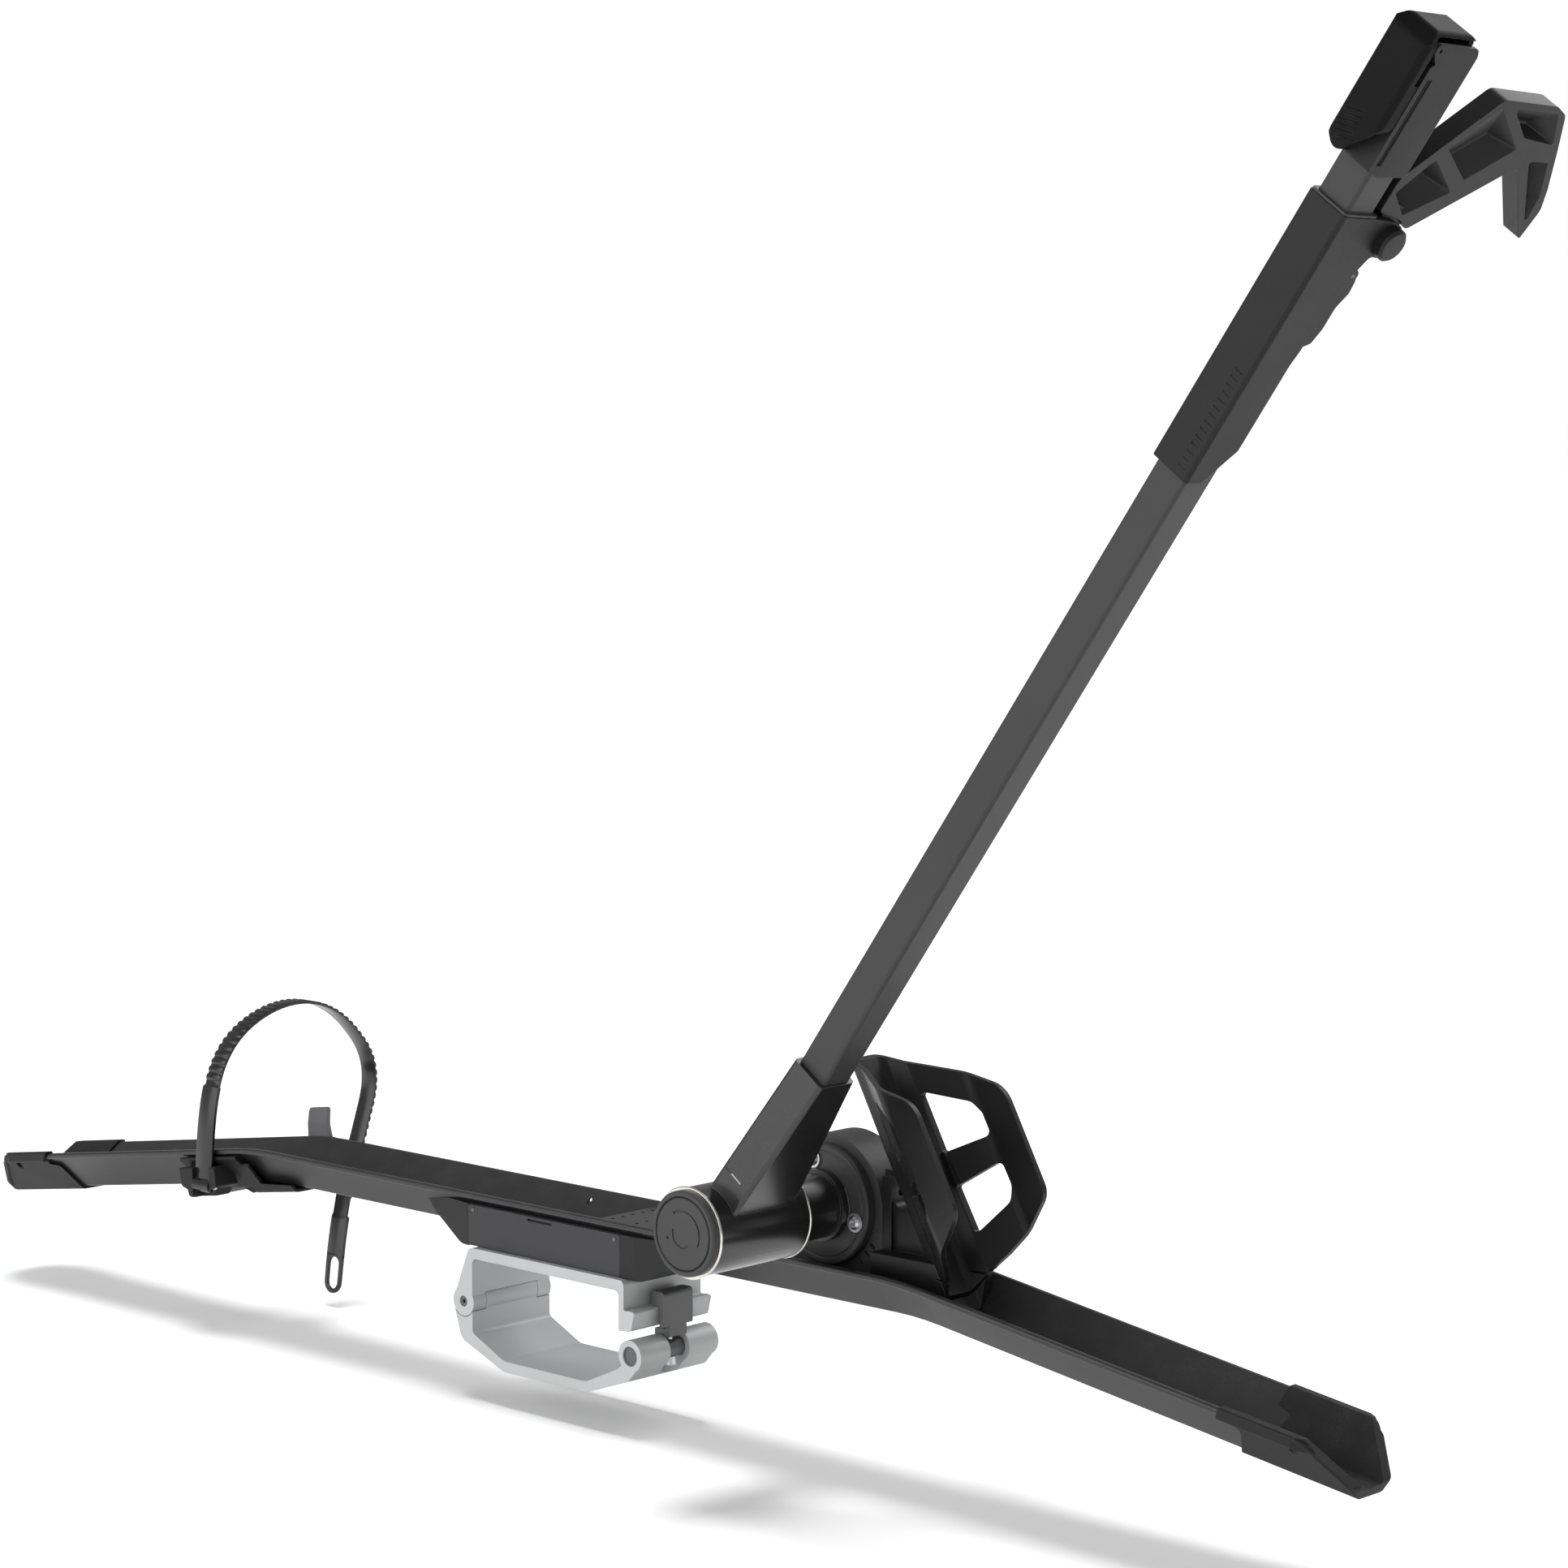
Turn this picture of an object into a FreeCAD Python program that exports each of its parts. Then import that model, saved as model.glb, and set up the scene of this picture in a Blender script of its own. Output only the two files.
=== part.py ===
"""Hitch bike carrier for one bike: bent wheel tray, spine clamp, wheel cradle, folding arm and wheel strap."""
import math
import os

import FreeCAD
import Part
from FreeCAD import Placement, Rotation, Vector

ORIGIN = Vector(0, 0, 0)
ALONG_X = Vector(1, 0, 0)
ALONG_Y = Vector(0, 1, 0)
ALONG_Z = Vector(0, 0, 1)

# Wheel tray: a thin vee channel with rolled rims, level in the middle and drooping at both ends
rim_height = 48.3
rim_half_width = 38.5
tray_depth = 30.5
tray_wall = 2.2
tray_floor_half = 11.0
rim_roll = 4.6
flank_slope = 0.8608
left_bend_x = -330.0
right_bend_x = 335.0
left_droop = 8.4
right_droop = 8.34
bend_radius = 300.0
left_channel_length = 306.0
right_channel_length = 322.0

# End caps pushed over the tray ends
cap_gap = 0.25
cap_skin = 2.4
cap_lining = 1.5
cap_slope = 29.0
right_cap_start = 269.0
right_cap_shoulder = 331.0
left_cap_start = 266.0
left_cap_shoulder = 326.5
cap_band = 2.2

# Perforated deck set into the tray between the clamp and the arm
deck_start = 44.0
deck_end = 196.0
deck_drop = 3.0
deck_thickness = 2.5
deck_hole_radius = 1.6
deck_hole_pitch_y = 10.0
deck_hole_pitch_x = 24.0

# Housing between the tray and the clamp
housing_bottom = 8.0
housing_half_length = 145.0
housing_flat_half = 95.0
housing_half_width = 34.0
housing_nose_half_width = 24.0
housing_wall = 3.0
housing_pocket_length = 78.0
housing_rib = 5.0
tray_seat_gap = 0.1
panel_start = -85.0
panel_end = 73.0
panel_top = 38.6
panel_thickness = 1.6

# Clamp: upper jaw over the spine, lower jaw hinged at the back, screwed claw at the front
jaw_half_width = 38.5
opening_half = 76.5
upper_plate_top = 7.9
back_pin_x = -86.1
back_pin_z = -33.0
back_pin_radius = 4.0
knuckle_radius = 11.0
knuckle_gap = 0.5
middle_knuckle_half = 25.3
knuckle_side_gap = 0.4
lip_outer_x = 92.4
leg_thickness = 5.2
leg_bottom = -28.5
lower_corner_half = 43.0
opening_depth = 70.5
opening_shoulder = 55.0
lower_jaw_wall = 8.0
barrel_x = 87.8
barrel_z = -45.1
barrel_radius = 11.5
barrel_gap_half = 9.4
dowel_radius = 7.0
pivot_gap = 0.05
claw_half_width = 14.5
claw_inner_radius = 32.6
lip_radius = 32.3
claw_face_x = 97.5
clamp_bolt_radius = 3.0

# Arm pivot: upright block in the tray, notched disc, shaft and the barrel that turns on it
hub_x = 251.0
hub_z = 83.1
block_front = -8.0
block_back = 22.0
block_radius = 47.0
disc_front = -16.0
disc_radius = 41.0
disc_bolt_circle = 31.5
disc_bolt_head = 6.6
shaft_radius = 20.0
collar_radius = 22.0
barrel_front_y = -142.6
barrel_back_y = -59.6
hub_radius = 29.5
cap_front_y = -149.3
cap_radius = 28.4

# Arm: square tube in a flared socket, with a covered head at the top
arm_angle = 53.64
tube_half = 12.5
tube_near_y = -114.3
tube_wall = 1.8
tube_corner = 2.6
tube_start = 44.0
tube_end = 898.0
socket_top = 138.0
socket_skin = 1.7
socket_near_skin = 4.0
socket_far_skin = 3.3
socket_near_flare = 11.9
socket_far_flare = 16.4
notch_pitch = 14.0
notch_count = 30
notch_first = 350.0
notch_length = 6.0
notch_half_width = 4.0

# Arm head and its flip-up cover
head_cap = 4.0
head_length = 70.5
head_side_skin = 3.5
head_near_skin = 8.7
head_far_skin = 3.0
ear_height = 12.7
ear_thickness = 2.8
cover_depth = 11.5
cover_rise = 4.8
cover_wall = 2.2
cover_gap = 0.3
cover_pin_radius = 1.6
cover_knuckle_radius = 4.4
cover_pin_inset = 8.2
cover_pin_drop = 6.2
lock_radius = 8.0
lock_drop = 30.0

# Slider with its folding wheel hook and release lever
sleeve_bottom = 619.0
sleeve_length = 184.0
sleeve_side_skin = 2.7
sleeve_near_skin = 3.9
sleeve_far_skin = 4.4
sleeve_gap = 0.15
hook_pin_out = 18.4
hook_pin_drop = 13.5
hook_pin_radius = 4.0
hook_boss_radius = 11.5
knob_radius = 10.4
cheek_front = 15.2
cheek_thickness = 4.2
cheek_back = -9.0
hook_front = 13.0
hook_back = 0.0
hook_floor = 2.6
hook_crease = 0.8
lever_pin_out = 7.4
lever_pin_drop = 24.5
lever_pin_radius = 1.5
lever_near = 2.0
lever_far = 13.0
tick_count = 14

# Wheel cradle, drawn upright in its own leaning frame
cradle_x = 366.0
cradle_z = 20.3
cradle_lean = 29.03
cradle_skin = 4.0
wing_half = 43.0
wing_front = 66.0
cradle_bolt_levels = (58.0, 96.0)
cradle_bolt_radius = 2.6

# Rear wheel strap and its carriage on the left part of the tray
carriage_outer = -90.0
carriage_inner = 25.0
carriage_gap = 0.4
carriage_skin = 3.0
strap_x = -383.0
strap_width = 19.6
ladder_width = 17.4
strap_thickness = 2.6
tooth_pitch = 6.4
tooth_height = 1.1
strap_pin_y = -43.2
strap_pin_z = 13.0
strap_pin_radius = 2.0
buckle_pin_out = 9.1
buckle_pin_z = -6.8
buckle_pin_radius = 2.0

# Places that follow from the sizes above
tube_far_y = tube_near_y + 2 * tube_half
socket_half = tube_half + socket_skin
head_top = tube_end + head_cap
head_bottom = head_top - head_length
head_half = tube_half + head_side_skin
head_near_y = tube_near_y - head_near_skin
head_far_y = tube_far_y + head_far_skin
ear_top = head_top + ear_height
cover_near_y = head_near_y - cover_depth
cover_bottom = head_bottom + 2.0
cover_top = ear_top + cover_rise
cover_pin_y = head_far_y - cover_pin_inset
cover_pin_u = ear_top - cover_pin_drop
lock_u = head_top - lock_drop
sleeve_half = tube_half + sleeve_side_skin
sleeve_near_y = tube_near_y - sleeve_near_skin
sleeve_far_y = tube_far_y + sleeve_far_skin
sleeve_top = sleeve_bottom + sleeve_length
hook_pin_y = sleeve_far_y + hook_pin_out
hook_pin_u = sleeve_top - hook_pin_drop
lever_pin_y = sleeve_far_y + lever_pin_out
lever_pin_u = hook_pin_u - lever_pin_drop
buckle_pin_y = rim_half_width + buckle_pin_out


def side_view(y):
    """Places a drawn point (x, z) in the upright plane at the given y."""
    return lambda a, b: Vector(a, y, b)


def end_view(x):
    """Places a drawn point (y, z) in the upright plane at the given x."""
    return lambda a, b: Vector(x, a, b)


def plan_view(z):
    """Places a drawn point (x, y) in the level plane at the given z."""
    return lambda a, b: Vector(a, b, z)


def outline(points, radii, place):
    """Closed wire through the corners, each rounded by its own radius."""
    count = len(points)
    if not isinstance(radii, (list, tuple)):
        radii = [radii] * count
    starts = []
    ends = []
    middles = []
    for index in range(count):
        before = Vector(*points[index - 1], 0)
        here = Vector(*points[index], 0)
        after = Vector(*points[(index + 1) % count], 0)
        to_before = (before - here).normalize()
        to_after = (after - here).normalize()
        half = to_before.getAngle(to_after) / 2
        radius = radii[index]
        if radius <= 0 or half > math.pi / 2 - 0.01:
            starts.append(here)
            ends.append(here)
            middles.append(None)
            continue
        reach = radius / math.tan(half)
        starts.append(here + to_before * reach)
        ends.append(here + to_after * reach)
        inward = (to_before + to_after).normalize()
        middles.append(here + inward * (radius / math.sin(half) - radius))
    edges = []
    for index in range(count):
        if middles[index] is not None:
            arc = [place(p.x, p.y) for p in (starts[index], middles[index], ends[index])]
            edges.append(Part.Arc(*arc).toShape())
        here = ends[index]
        after = starts[(index + 1) % count]
        if (after - here).Length > 1e-6:
            edges.append(Part.makeLine(place(here.x, here.y), place(after.x, after.y)))
    return Part.Wire(edges)


def prism_x(points, radii, x0, x1):
    """Solid with a (y, z) outline between two x values."""
    return Part.Face(outline(points, radii, end_view(x0))).extrude(Vector(x1 - x0, 0, 0))


def prism_y(points, radii, y0, y1):
    """Solid with an (x, z) outline between two y values."""
    return Part.Face(outline(points, radii, side_view(y0))).extrude(Vector(0, y1 - y0, 0))


def prism_z(points, radii, z0, z1):
    """Solid with an (x, y) outline between two z values."""
    return Part.Face(outline(points, radii, plan_view(z0))).extrude(Vector(0, 0, z1 - z0))


def box(x0, x1, y0, y1, z0, z1):
    """Plain block between the given limits."""
    return Part.makeBox(x1 - x0, y1 - y0, z1 - z0, Vector(x0, y0, z0))


def rod_x(radius, x0, x1, y, z):
    """Round bar along x."""
    return Part.makeCylinder(radius, x1 - x0, Vector(x0, y, z), ALONG_X)


def rod_y(radius, y0, y1, x, z):
    """Round bar along y."""
    return Part.makeCylinder(radius, y1 - y0, Vector(x, y0, z), ALONG_Y)


def rod_z(radius, z0, z1, x, y):
    """Round bar along z."""
    return Part.makeCylinder(radius, z1 - z0, Vector(x, y, z0), ALONG_Z)


def turned_y(points, x, z):
    """Turned shape about an axis along y, from (radius, y) corner points."""
    corners = [Vector(x + radius, y, z) for radius, y in points]
    face = Part.Face(Part.makePolygon(corners + corners[:1]))
    return face.revolve(Vector(x, 0, z), ALONG_Y, 360)


def join(shapes):
    """One solid from several touching ones."""
    return shapes[0].fuse(list(shapes[1:])).removeSplitter()


def mirrored(points):
    """Adds the mirror image of a half outline drawn from right to left."""
    return points + [(-a, b) for a, b in reversed(points)]


def placed(shape, placement):
    """Copy of a shape moved into its working place."""
    moved = shape.copy()
    moved.Placement = placement.multiply(moved.Placement)
    return moved


def left_frame():
    """Frame of the drooping left part: x runs along it, zero at the bend, z is zero at the rims."""
    return Placement(Vector(left_bend_x, 0, rim_height), Rotation(ALONG_Y, -left_droop))


def right_frame():
    """Frame of the drooping right part."""
    return Placement(Vector(right_bend_x, 0, rim_height), Rotation(ALONG_Y, right_droop))


def arm_frame():
    """Frame of the arm: z runs up the arm, x points to its underside, y is the row's y."""
    return Placement(Vector(hub_x, 0, hub_z), Rotation(ALONG_Y, 90 - arm_angle))


def cradle_frame():
    """Frame of the cradle: z runs up its spine, x points to the wheel."""
    return Placement(Vector(cradle_x, 0, cradle_z), Rotation(ALONG_Y, -cradle_lean))


def flank(z, grow):
    """Half width of the vee at a depth below the rims, on a skin grown outward."""
    return tray_floor_half + (z + tray_depth) * flank_slope + grow * math.hypot(1, flank_slope)


def vee(grow, top, x0, x1):
    """Solid vee bar with its skin grown outward from the tray's outer face."""
    bottom = -tray_depth - grow
    half = [(flank(top, grow), top), (flank(bottom, grow), bottom)]
    return prism_x(mirrored(half), [0, 3, 3, 0], x0, x1)


def tray_section(gap, place):
    """Cross-section of the tray wall, grown on every side by a gap."""
    inner_skin = -tray_wall - gap
    inner_floor = -tray_depth + tray_wall + gap
    outer = [
        (flank(gap, inner_skin), gap),
        (rim_half_width + gap, gap),
        (rim_half_width + gap, -rim_roll - gap),
        (flank(-rim_roll - gap, gap), -rim_roll - gap),
        (flank(-tray_depth - gap, gap), -tray_depth - gap),
    ]
    inner = [(flank(inner_floor, inner_skin), inner_floor)]
    points = mirrored(outer)
    points += [(-inner[0][0], inner_floor), (inner[0][0], inner_floor)]
    roll = 1.9 + gap
    radii = [0.7, roll, roll, 1, 4, 4, 1, roll, roll, 0.7, 2.4, 2.4]
    return outline(points, radii, place)


def tray_bar(gap, x0, x1):
    """Straight length of tray wall with z zero at the rims."""
    return Part.Face(tray_section(gap, end_view(x0))).extrude(Vector(x1 - x0, 0, 0))


def tray_channel():
    """The bent channel: three straight lengths joined by two wide bends."""
    left_reach = bend_radius * math.tan(math.radians(left_droop / 2))
    right_reach = bend_radius * math.tan(math.radians(right_droop / 2))
    level = tray_bar(0, left_bend_x + left_reach, right_bend_x - right_reach)
    level.translate(Vector(0, 0, rim_height))
    left = placed(tray_bar(0, -left_channel_length, -left_reach), left_frame())
    right = placed(tray_bar(0, right_reach, right_channel_length), right_frame())
    pieces = [level, left, right]
    for bend_x, droop, axis in (
        (left_bend_x + left_reach, left_droop, Vector(0, -1, 0)),
        (right_bend_x - right_reach, right_droop, Vector(0, 1, 0)),
    ):
        face = Part.Face(tray_section(0, end_view(bend_x)))
        face.translate(Vector(0, 0, rim_height))
        centre = Vector(bend_x, 0, rim_height - bend_radius)
        pieces.append(face.revolve(centre, axis, droop))
    channel = join(pieces)
    holes = [rod_y(2.0, 25, 45, -22.0, rim_height - 7.5)]
    for x in (-60.0, 60.0):
        holes.append(rod_z(3.2, 0, rim_height, x, 0))
    return channel.cut(holes)


def cap_body(x0, x1):
    """Sleeve over both faces of the tray wall, open at the top."""
    band_foot = -rim_roll - cap_band
    outer = [
        (rim_half_width + cap_band, 1.5),
        (rim_half_width + cap_band, band_foot),
        (flank(band_foot, cap_skin), band_foot),
        (flank(-tray_depth - cap_skin, cap_skin), -tray_depth - cap_skin),
    ]
    radii = [1.6, 2.2, 1, 5, 5, 1, 2.2, 1.6]
    body = prism_x(mirrored(outer), radii, x0, x1)
    return body.cut(vee(-tray_wall - cap_lining, 4, x0 - 1, x1 + 1))


def sloped_cap(start, shoulder, band_foot, skin_top, skin_foot, channel_length):
    """Cap drawn outward along x: its walls slope down from a shoulder to a low open end."""
    low = -tray_depth - cap_skin
    end = shoulder + cap_slope
    body = cap_body(min(start, skin_foot), end + 3)
    shape = [
        (start + 1, 3), (shoulder, 3), (end + 1.5, low + 8), (end, low - 1), (skin_foot, low - 1),
        (skin_top, -11), (band_foot, -9),
    ]
    body = body.common(prism_y(shape, [0, 8, 4, 3, 0, 3, 0], -60, 60))
    body = body.cut(tray_bar(cap_gap, start - 20, channel_length + cap_gap))
    wall = flank(-rim_roll - cap_band, cap_skin)
    edge = rim_half_width + cap_band
    cuts = []
    for side in (-1, 1):
        taper = [
            (shoulder - 7, side * (edge + 0.5)), (end + 9, side * (edge + 0.5)), (end + 9, side * wall),
            (shoulder + 6, side * wall),
        ]
        cuts.append(prism_z(taper, [0, 0, 0, 6], -60, 5))
        cuts.append(rod_y(3.2, side * rim_half_width - 9, side * rim_half_width + 9, shoulder - 9, -9.5))
    return body.cut(cuts)


def front_end_cap():
    """Cap on the drooping right end."""
    start = right_cap_start
    cap = sloped_cap(start, right_cap_shoulder, start, start + 13, start + 3, right_channel_length)
    return placed(cap, right_frame())


def rear_end_cap():
    """Cap on the drooping left end, its skin cut on the slant."""
    start = left_cap_start
    cap = sloped_cap(start, left_cap_shoulder, start + 9, start - 3, start - 6, left_channel_length)
    return placed(cap.mirror(ORIGIN, ALONG_X), left_frame())


def deck_plate():
    """Flat perforated deck, its edges bevelled to the tray flanks."""
    top = -deck_drop
    slab = box(deck_start, deck_end, -40, 40, top - deck_thickness, top)
    plate = slab.common(vee(-tray_wall - 0.05, 2, deck_start - 1, deck_end + 1))
    holes = []
    columns = int((deck_end - deck_start) / deck_hole_pitch_x)
    for column in range(columns):
        for row in range(-2, 3):
            x = deck_start + 8 + column * deck_hole_pitch_x
            holes.append(rod_z(deck_hole_radius, top - 5, top + 5, x, row * deck_hole_pitch_y))
    plate = plate.cut(holes)
    plate.translate(Vector(0, 0, rim_height))
    return plate


def mount_housing():
    """Moulded saddle: vee seat on top, ribbed pockets below, ends drawn in and up."""
    top = rim_height - rim_roll - 4.6
    side = [
        (-housing_half_length, top), (-housing_half_length + 16, top - 13), (-housing_flat_half, housing_bottom),
        (housing_flat_half, housing_bottom), (housing_half_length - 16, top - 13), (housing_half_length, top),
    ]
    body = prism_y(side, [0, 12, 14, 14, 12, 0], -housing_half_width, housing_half_width)
    nose = housing_half_length + 1
    plan = [
        (-nose, -housing_nose_half_width), (-panel_end - 14, -housing_half_width),
        (panel_end + 14, -housing_half_width), (nose, -housing_nose_half_width),
        (nose, housing_nose_half_width), (panel_end + 14, housing_half_width),
        (-panel_end - 14, housing_half_width), (-nose, housing_nose_half_width),
    ]
    body = body.common(prism_z(plan, [4, 20, 20, 4, 4, 20, 20, 4], 0, rim_height))
    seat = vee(tray_seat_gap, 2, -housing_half_length - 2, housing_half_length + 2)
    seat.translate(Vector(0, 0, rim_height))
    cuts = [seat]
    inner = housing_half_width - housing_wall
    pocket = [(11, 7), (inner, 7), (inner, 34), (29, 34), (18.6, 21), (11, 13)]
    step = housing_pocket_length / 2
    for side_sign in (-1, 1):
        points = [(side_sign * y, z) for y, z in pocket]
        for index in range(4):
            start = -housing_pocket_length + index * step
            cuts.append(prism_x(points, 1, start + housing_rib / 2, start + step - housing_rib / 2))
        face = housing_half_width - panel_thickness
        cuts.append(box(panel_start - 0.1, panel_end + 0.1, min(side_sign * face, side_sign * 40),
                        max(side_sign * face, side_sign * 40), 0, rim_height))
    for x in (-60.0, 60.0):
        cuts.append(rod_z(3.2, 0, rim_height, x, 0))
        cuts.append(rod_z(6.2, 0, 14.0, x, 0))
    for x in (panel_start + 5, panel_end - 5):
        cuts.append(rod_y(1.6, -40, 40, x, panel_top - 3.6))
    return body.cut(cuts)


def side_panel(side):
    """Bare side panel with one long slot and two screw seats."""
    low = housing_bottom + 0.6
    points = [(panel_start, low), (panel_end, low), (panel_end, panel_top), (panel_start, panel_top)]
    inner = side * (housing_half_width - panel_thickness + 0.02)
    outer = side * housing_half_width
    plate = prism_y(points, 1.5, min(inner, outer), max(inner, outer))
    slot = [(-22, 35.2), (4, 35.2), (4, 36.8), (-22, 36.8)]
    cuts = [prism_y(slot, 0.7, min(inner, outer) - 1, max(inner, outer) + 1)]
    for x in (panel_start + 5, panel_end - 5):
        cuts.append(rod_y(1.7, min(inner, outer) - 1, max(inner, outer) + 1, x, panel_top - 3.6))
    return plate.cut(cuts)


def panel_screws():
    """Countersunk screws that hold both side plates."""
    screws = []
    for side in (-1, 1):
        for x in (panel_start + 5, panel_end - 5):
            y0 = side * (housing_half_width - 5.5)
            y1 = side * (housing_half_width + 0.4)
            screws.append(rod_y(1.6, min(y0, y1), max(y0, y1), x, panel_top - 3.6))
    return Part.makeCompound(screws)


def tray_bolts():
    """Two cap bolts from the tray floor through the housing, with nuts in the housing."""
    bolts = []
    floor = rim_height - tray_depth + tray_wall
    for x in (-60.0, 60.0):
        head = rod_z(6.0, floor, floor + 4.0, x, 0)
        socket = prism_z(hexagon(3.0, x, 0), 0, floor + 2.0, floor + 5.0)
        shank = rod_z(3.0, 9.0, floor, x, 0)
        nut = prism_z(hexagon(5.6, x, 0), 0, 9.0, 13.8)
        bolts.append(join([head, shank, nut]).cut(socket))
    return Part.makeCompound(bolts)


def hexagon(radius, x, y):
    """Corner points of a hexagon about a centre."""
    steps = [math.radians(60 * index) for index in range(6)]
    return [(x + radius * math.cos(a), y + radius * math.sin(a)) for a in steps]


def upper_jaw():
    """Top jaw: flat plate, back knuckles and front leg with a hooked lip."""
    wide = jaw_half_width
    inner = opening_half
    outer_leg = inner + leg_thickness
    lip_top = barrel_z + math.sqrt(lip_radius ** 2 - (barrel_x - outer_leg) ** 2)
    lip_edge = barrel_z + math.sqrt(lip_radius ** 2 - (lip_outer_x - barrel_x) ** 2)
    points = [
        (-80, upper_plate_top), (outer_leg, upper_plate_top), (outer_leg, lip_top), (barrel_x, barrel_z + lip_radius),
        (lip_outer_x, lip_edge), (lip_outer_x - 3.5, leg_bottom + 1.2), (inner, leg_bottom), (inner, 0),
        (-inner, 0), (-inner, back_pin_z), (back_pin_x - knuckle_radius, back_pin_z),
    ]
    radii = [6, 4, 1.5, 0, 1.5, 3, 1.5, 4, 4, 0, 0]
    knuckle = rod_y(knuckle_radius, -wide, wide, back_pin_x, back_pin_z)
    body = join([prism_y(points, radii, -wide, wide), knuckle])
    middle = middle_knuckle_half + knuckle_side_gap
    cuts = [
        rod_y(knuckle_radius + knuckle_gap, -middle, middle, back_pin_x, back_pin_z),
        box(back_pin_x - 30, back_pin_x + 30, -middle, middle, back_pin_z - 30, back_pin_z),
        rod_y(back_pin_radius, -wide - 1, wide + 1, back_pin_x, back_pin_z),
    ]
    for x in (-60.0, 60.0):
        cuts.append(rod_z(3.2, -5, 12, x, 0))
    return body.cut(cuts)


def jaw_hinge_pin():
    """Back hinge pin, flush in the knuckles."""
    wide = jaw_half_width
    pin = rod_y(back_pin_radius - 0.02, -wide + 0.6, wide - 0.6, back_pin_x, back_pin_z)
    return pin.cut(rod_y(1.6, -wide, -wide + 3, back_pin_x, back_pin_z))


def lower_jaw():
    """Swinging jaw: middle knuckle, cranked floor and a split barrel for the dowel."""
    wide = jaw_half_width
    inner = opening_half
    wall = lower_jaw_wall
    deep = opening_depth + wall
    points = [
        (-inner, back_pin_z), (-inner, -opening_shoulder), (-lower_corner_half, -opening_depth),
        (lower_corner_half, -opening_depth), (inner - 1, -opening_shoulder - 1), (barrel_x, barrel_z),
        (barrel_x + barrel_radius - 1.5, barrel_z - 5), (barrel_x - 2, barrel_z - 18.5),
        (lower_corner_half, -deep), (-lower_corner_half, -deep), (-inner - 12, -opening_shoulder - 6),
        (-inner - 18, back_pin_z - 10), (back_pin_x - knuckle_radius, back_pin_z),
    ]
    radii = [0, 4, 10, 14, 0, 0, 6, 7, 18, 16, 10, 20, 0]
    body = prism_y(points, radii, -wide, wide)
    middle = middle_knuckle_half
    knuckle = rod_y(knuckle_radius, -middle, middle, back_pin_x, back_pin_z)
    barrel = rod_y(barrel_radius, -wide, wide, barrel_x, barrel_z)
    body = join([body, knuckle, barrel])
    cuts = [
        rod_y(dowel_radius + pivot_gap, -wide - 1, wide + 1, barrel_x, barrel_z),
        rod_y(back_pin_radius + pivot_gap, -wide - 1, wide + 1, back_pin_x, back_pin_z),
        box(barrel_x - 14, barrel_x + 30, -barrel_gap_half, barrel_gap_half, barrel_z - 30, barrel_z + 30),
    ]
    for y0, y1 in ((-wide - 1, -middle), (middle, wide + 1)):
        cuts.append(rod_y(knuckle_radius + knuckle_gap, y0, y1, back_pin_x, back_pin_z))
    return body.cut(cuts)


def clamp_dowel():
    """Cross dowel in the split barrel, bored for the clamp bolt."""
    wide = jaw_half_width
    dowel = rod_y(dowel_radius, -wide + 1.5, wide - 1.5, barrel_x, barrel_z)
    flat = box(barrel_x - 8, barrel_x + 8, -8, 8, barrel_z - dowel_radius - 1, barrel_z - dowel_radius + 1.2)
    return dowel.cut([flat, rod_z(clamp_bolt_radius + pivot_gap, barrel_z - 12, barrel_z + 12, barrel_x, 0)])


def clamp_claw():
    """Claw that hooks over the lip, with a tapped foot for the bolt."""
    wide = claw_half_width
    face = claw_face_x
    slab = face - 4.2
    step = claw_inner_radius
    tip_x = barrel_x - 2.2
    tip_z = barrel_z + math.sqrt(step ** 2 - (tip_x - barrel_x) ** 2)
    edge_z = barrel_z + math.sqrt(step ** 2 - (slab - barrel_x) ** 2)
    points = [
        (tip_x, -2.2), (face, -2.2), (face, -27.5), (slab, -27.5), (slab, edge_z), (barrel_x, barrel_z + step),
        (tip_x, tip_z),
    ]
    top = prism_y(points, [1.5, 3.0, 1.5, 0, 0.8, 0, 0.8], -wide, wide)
    foot = prism_y([(barrel_x - 5.5, -29.8), (face, -29.8), (face, -35.3), (barrel_x - 5.5, -35.3)], 1.5, -8.4, 8.4)
    web = box(slab, face, -8.4, 8.4, -32, -26)
    body = join([top, web, foot])
    return body.cut(rod_z(clamp_bolt_radius + pivot_gap, -40, -20, barrel_x, 0))


def clamp_bolt():
    """Socket-head bolt through the dowel into the claw."""
    seat = barrel_z - dowel_radius + 1.2
    shank = rod_z(clamp_bolt_radius, seat, -30.8, barrel_x, 0)
    head = rod_z(5.0, seat - 6.0, seat, barrel_x, 0)
    socket = prism_z(hexagon(2.9, barrel_x, 0), 0, seat - 7, seat - 3)
    return join([shank, head]).cut(socket)


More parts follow.
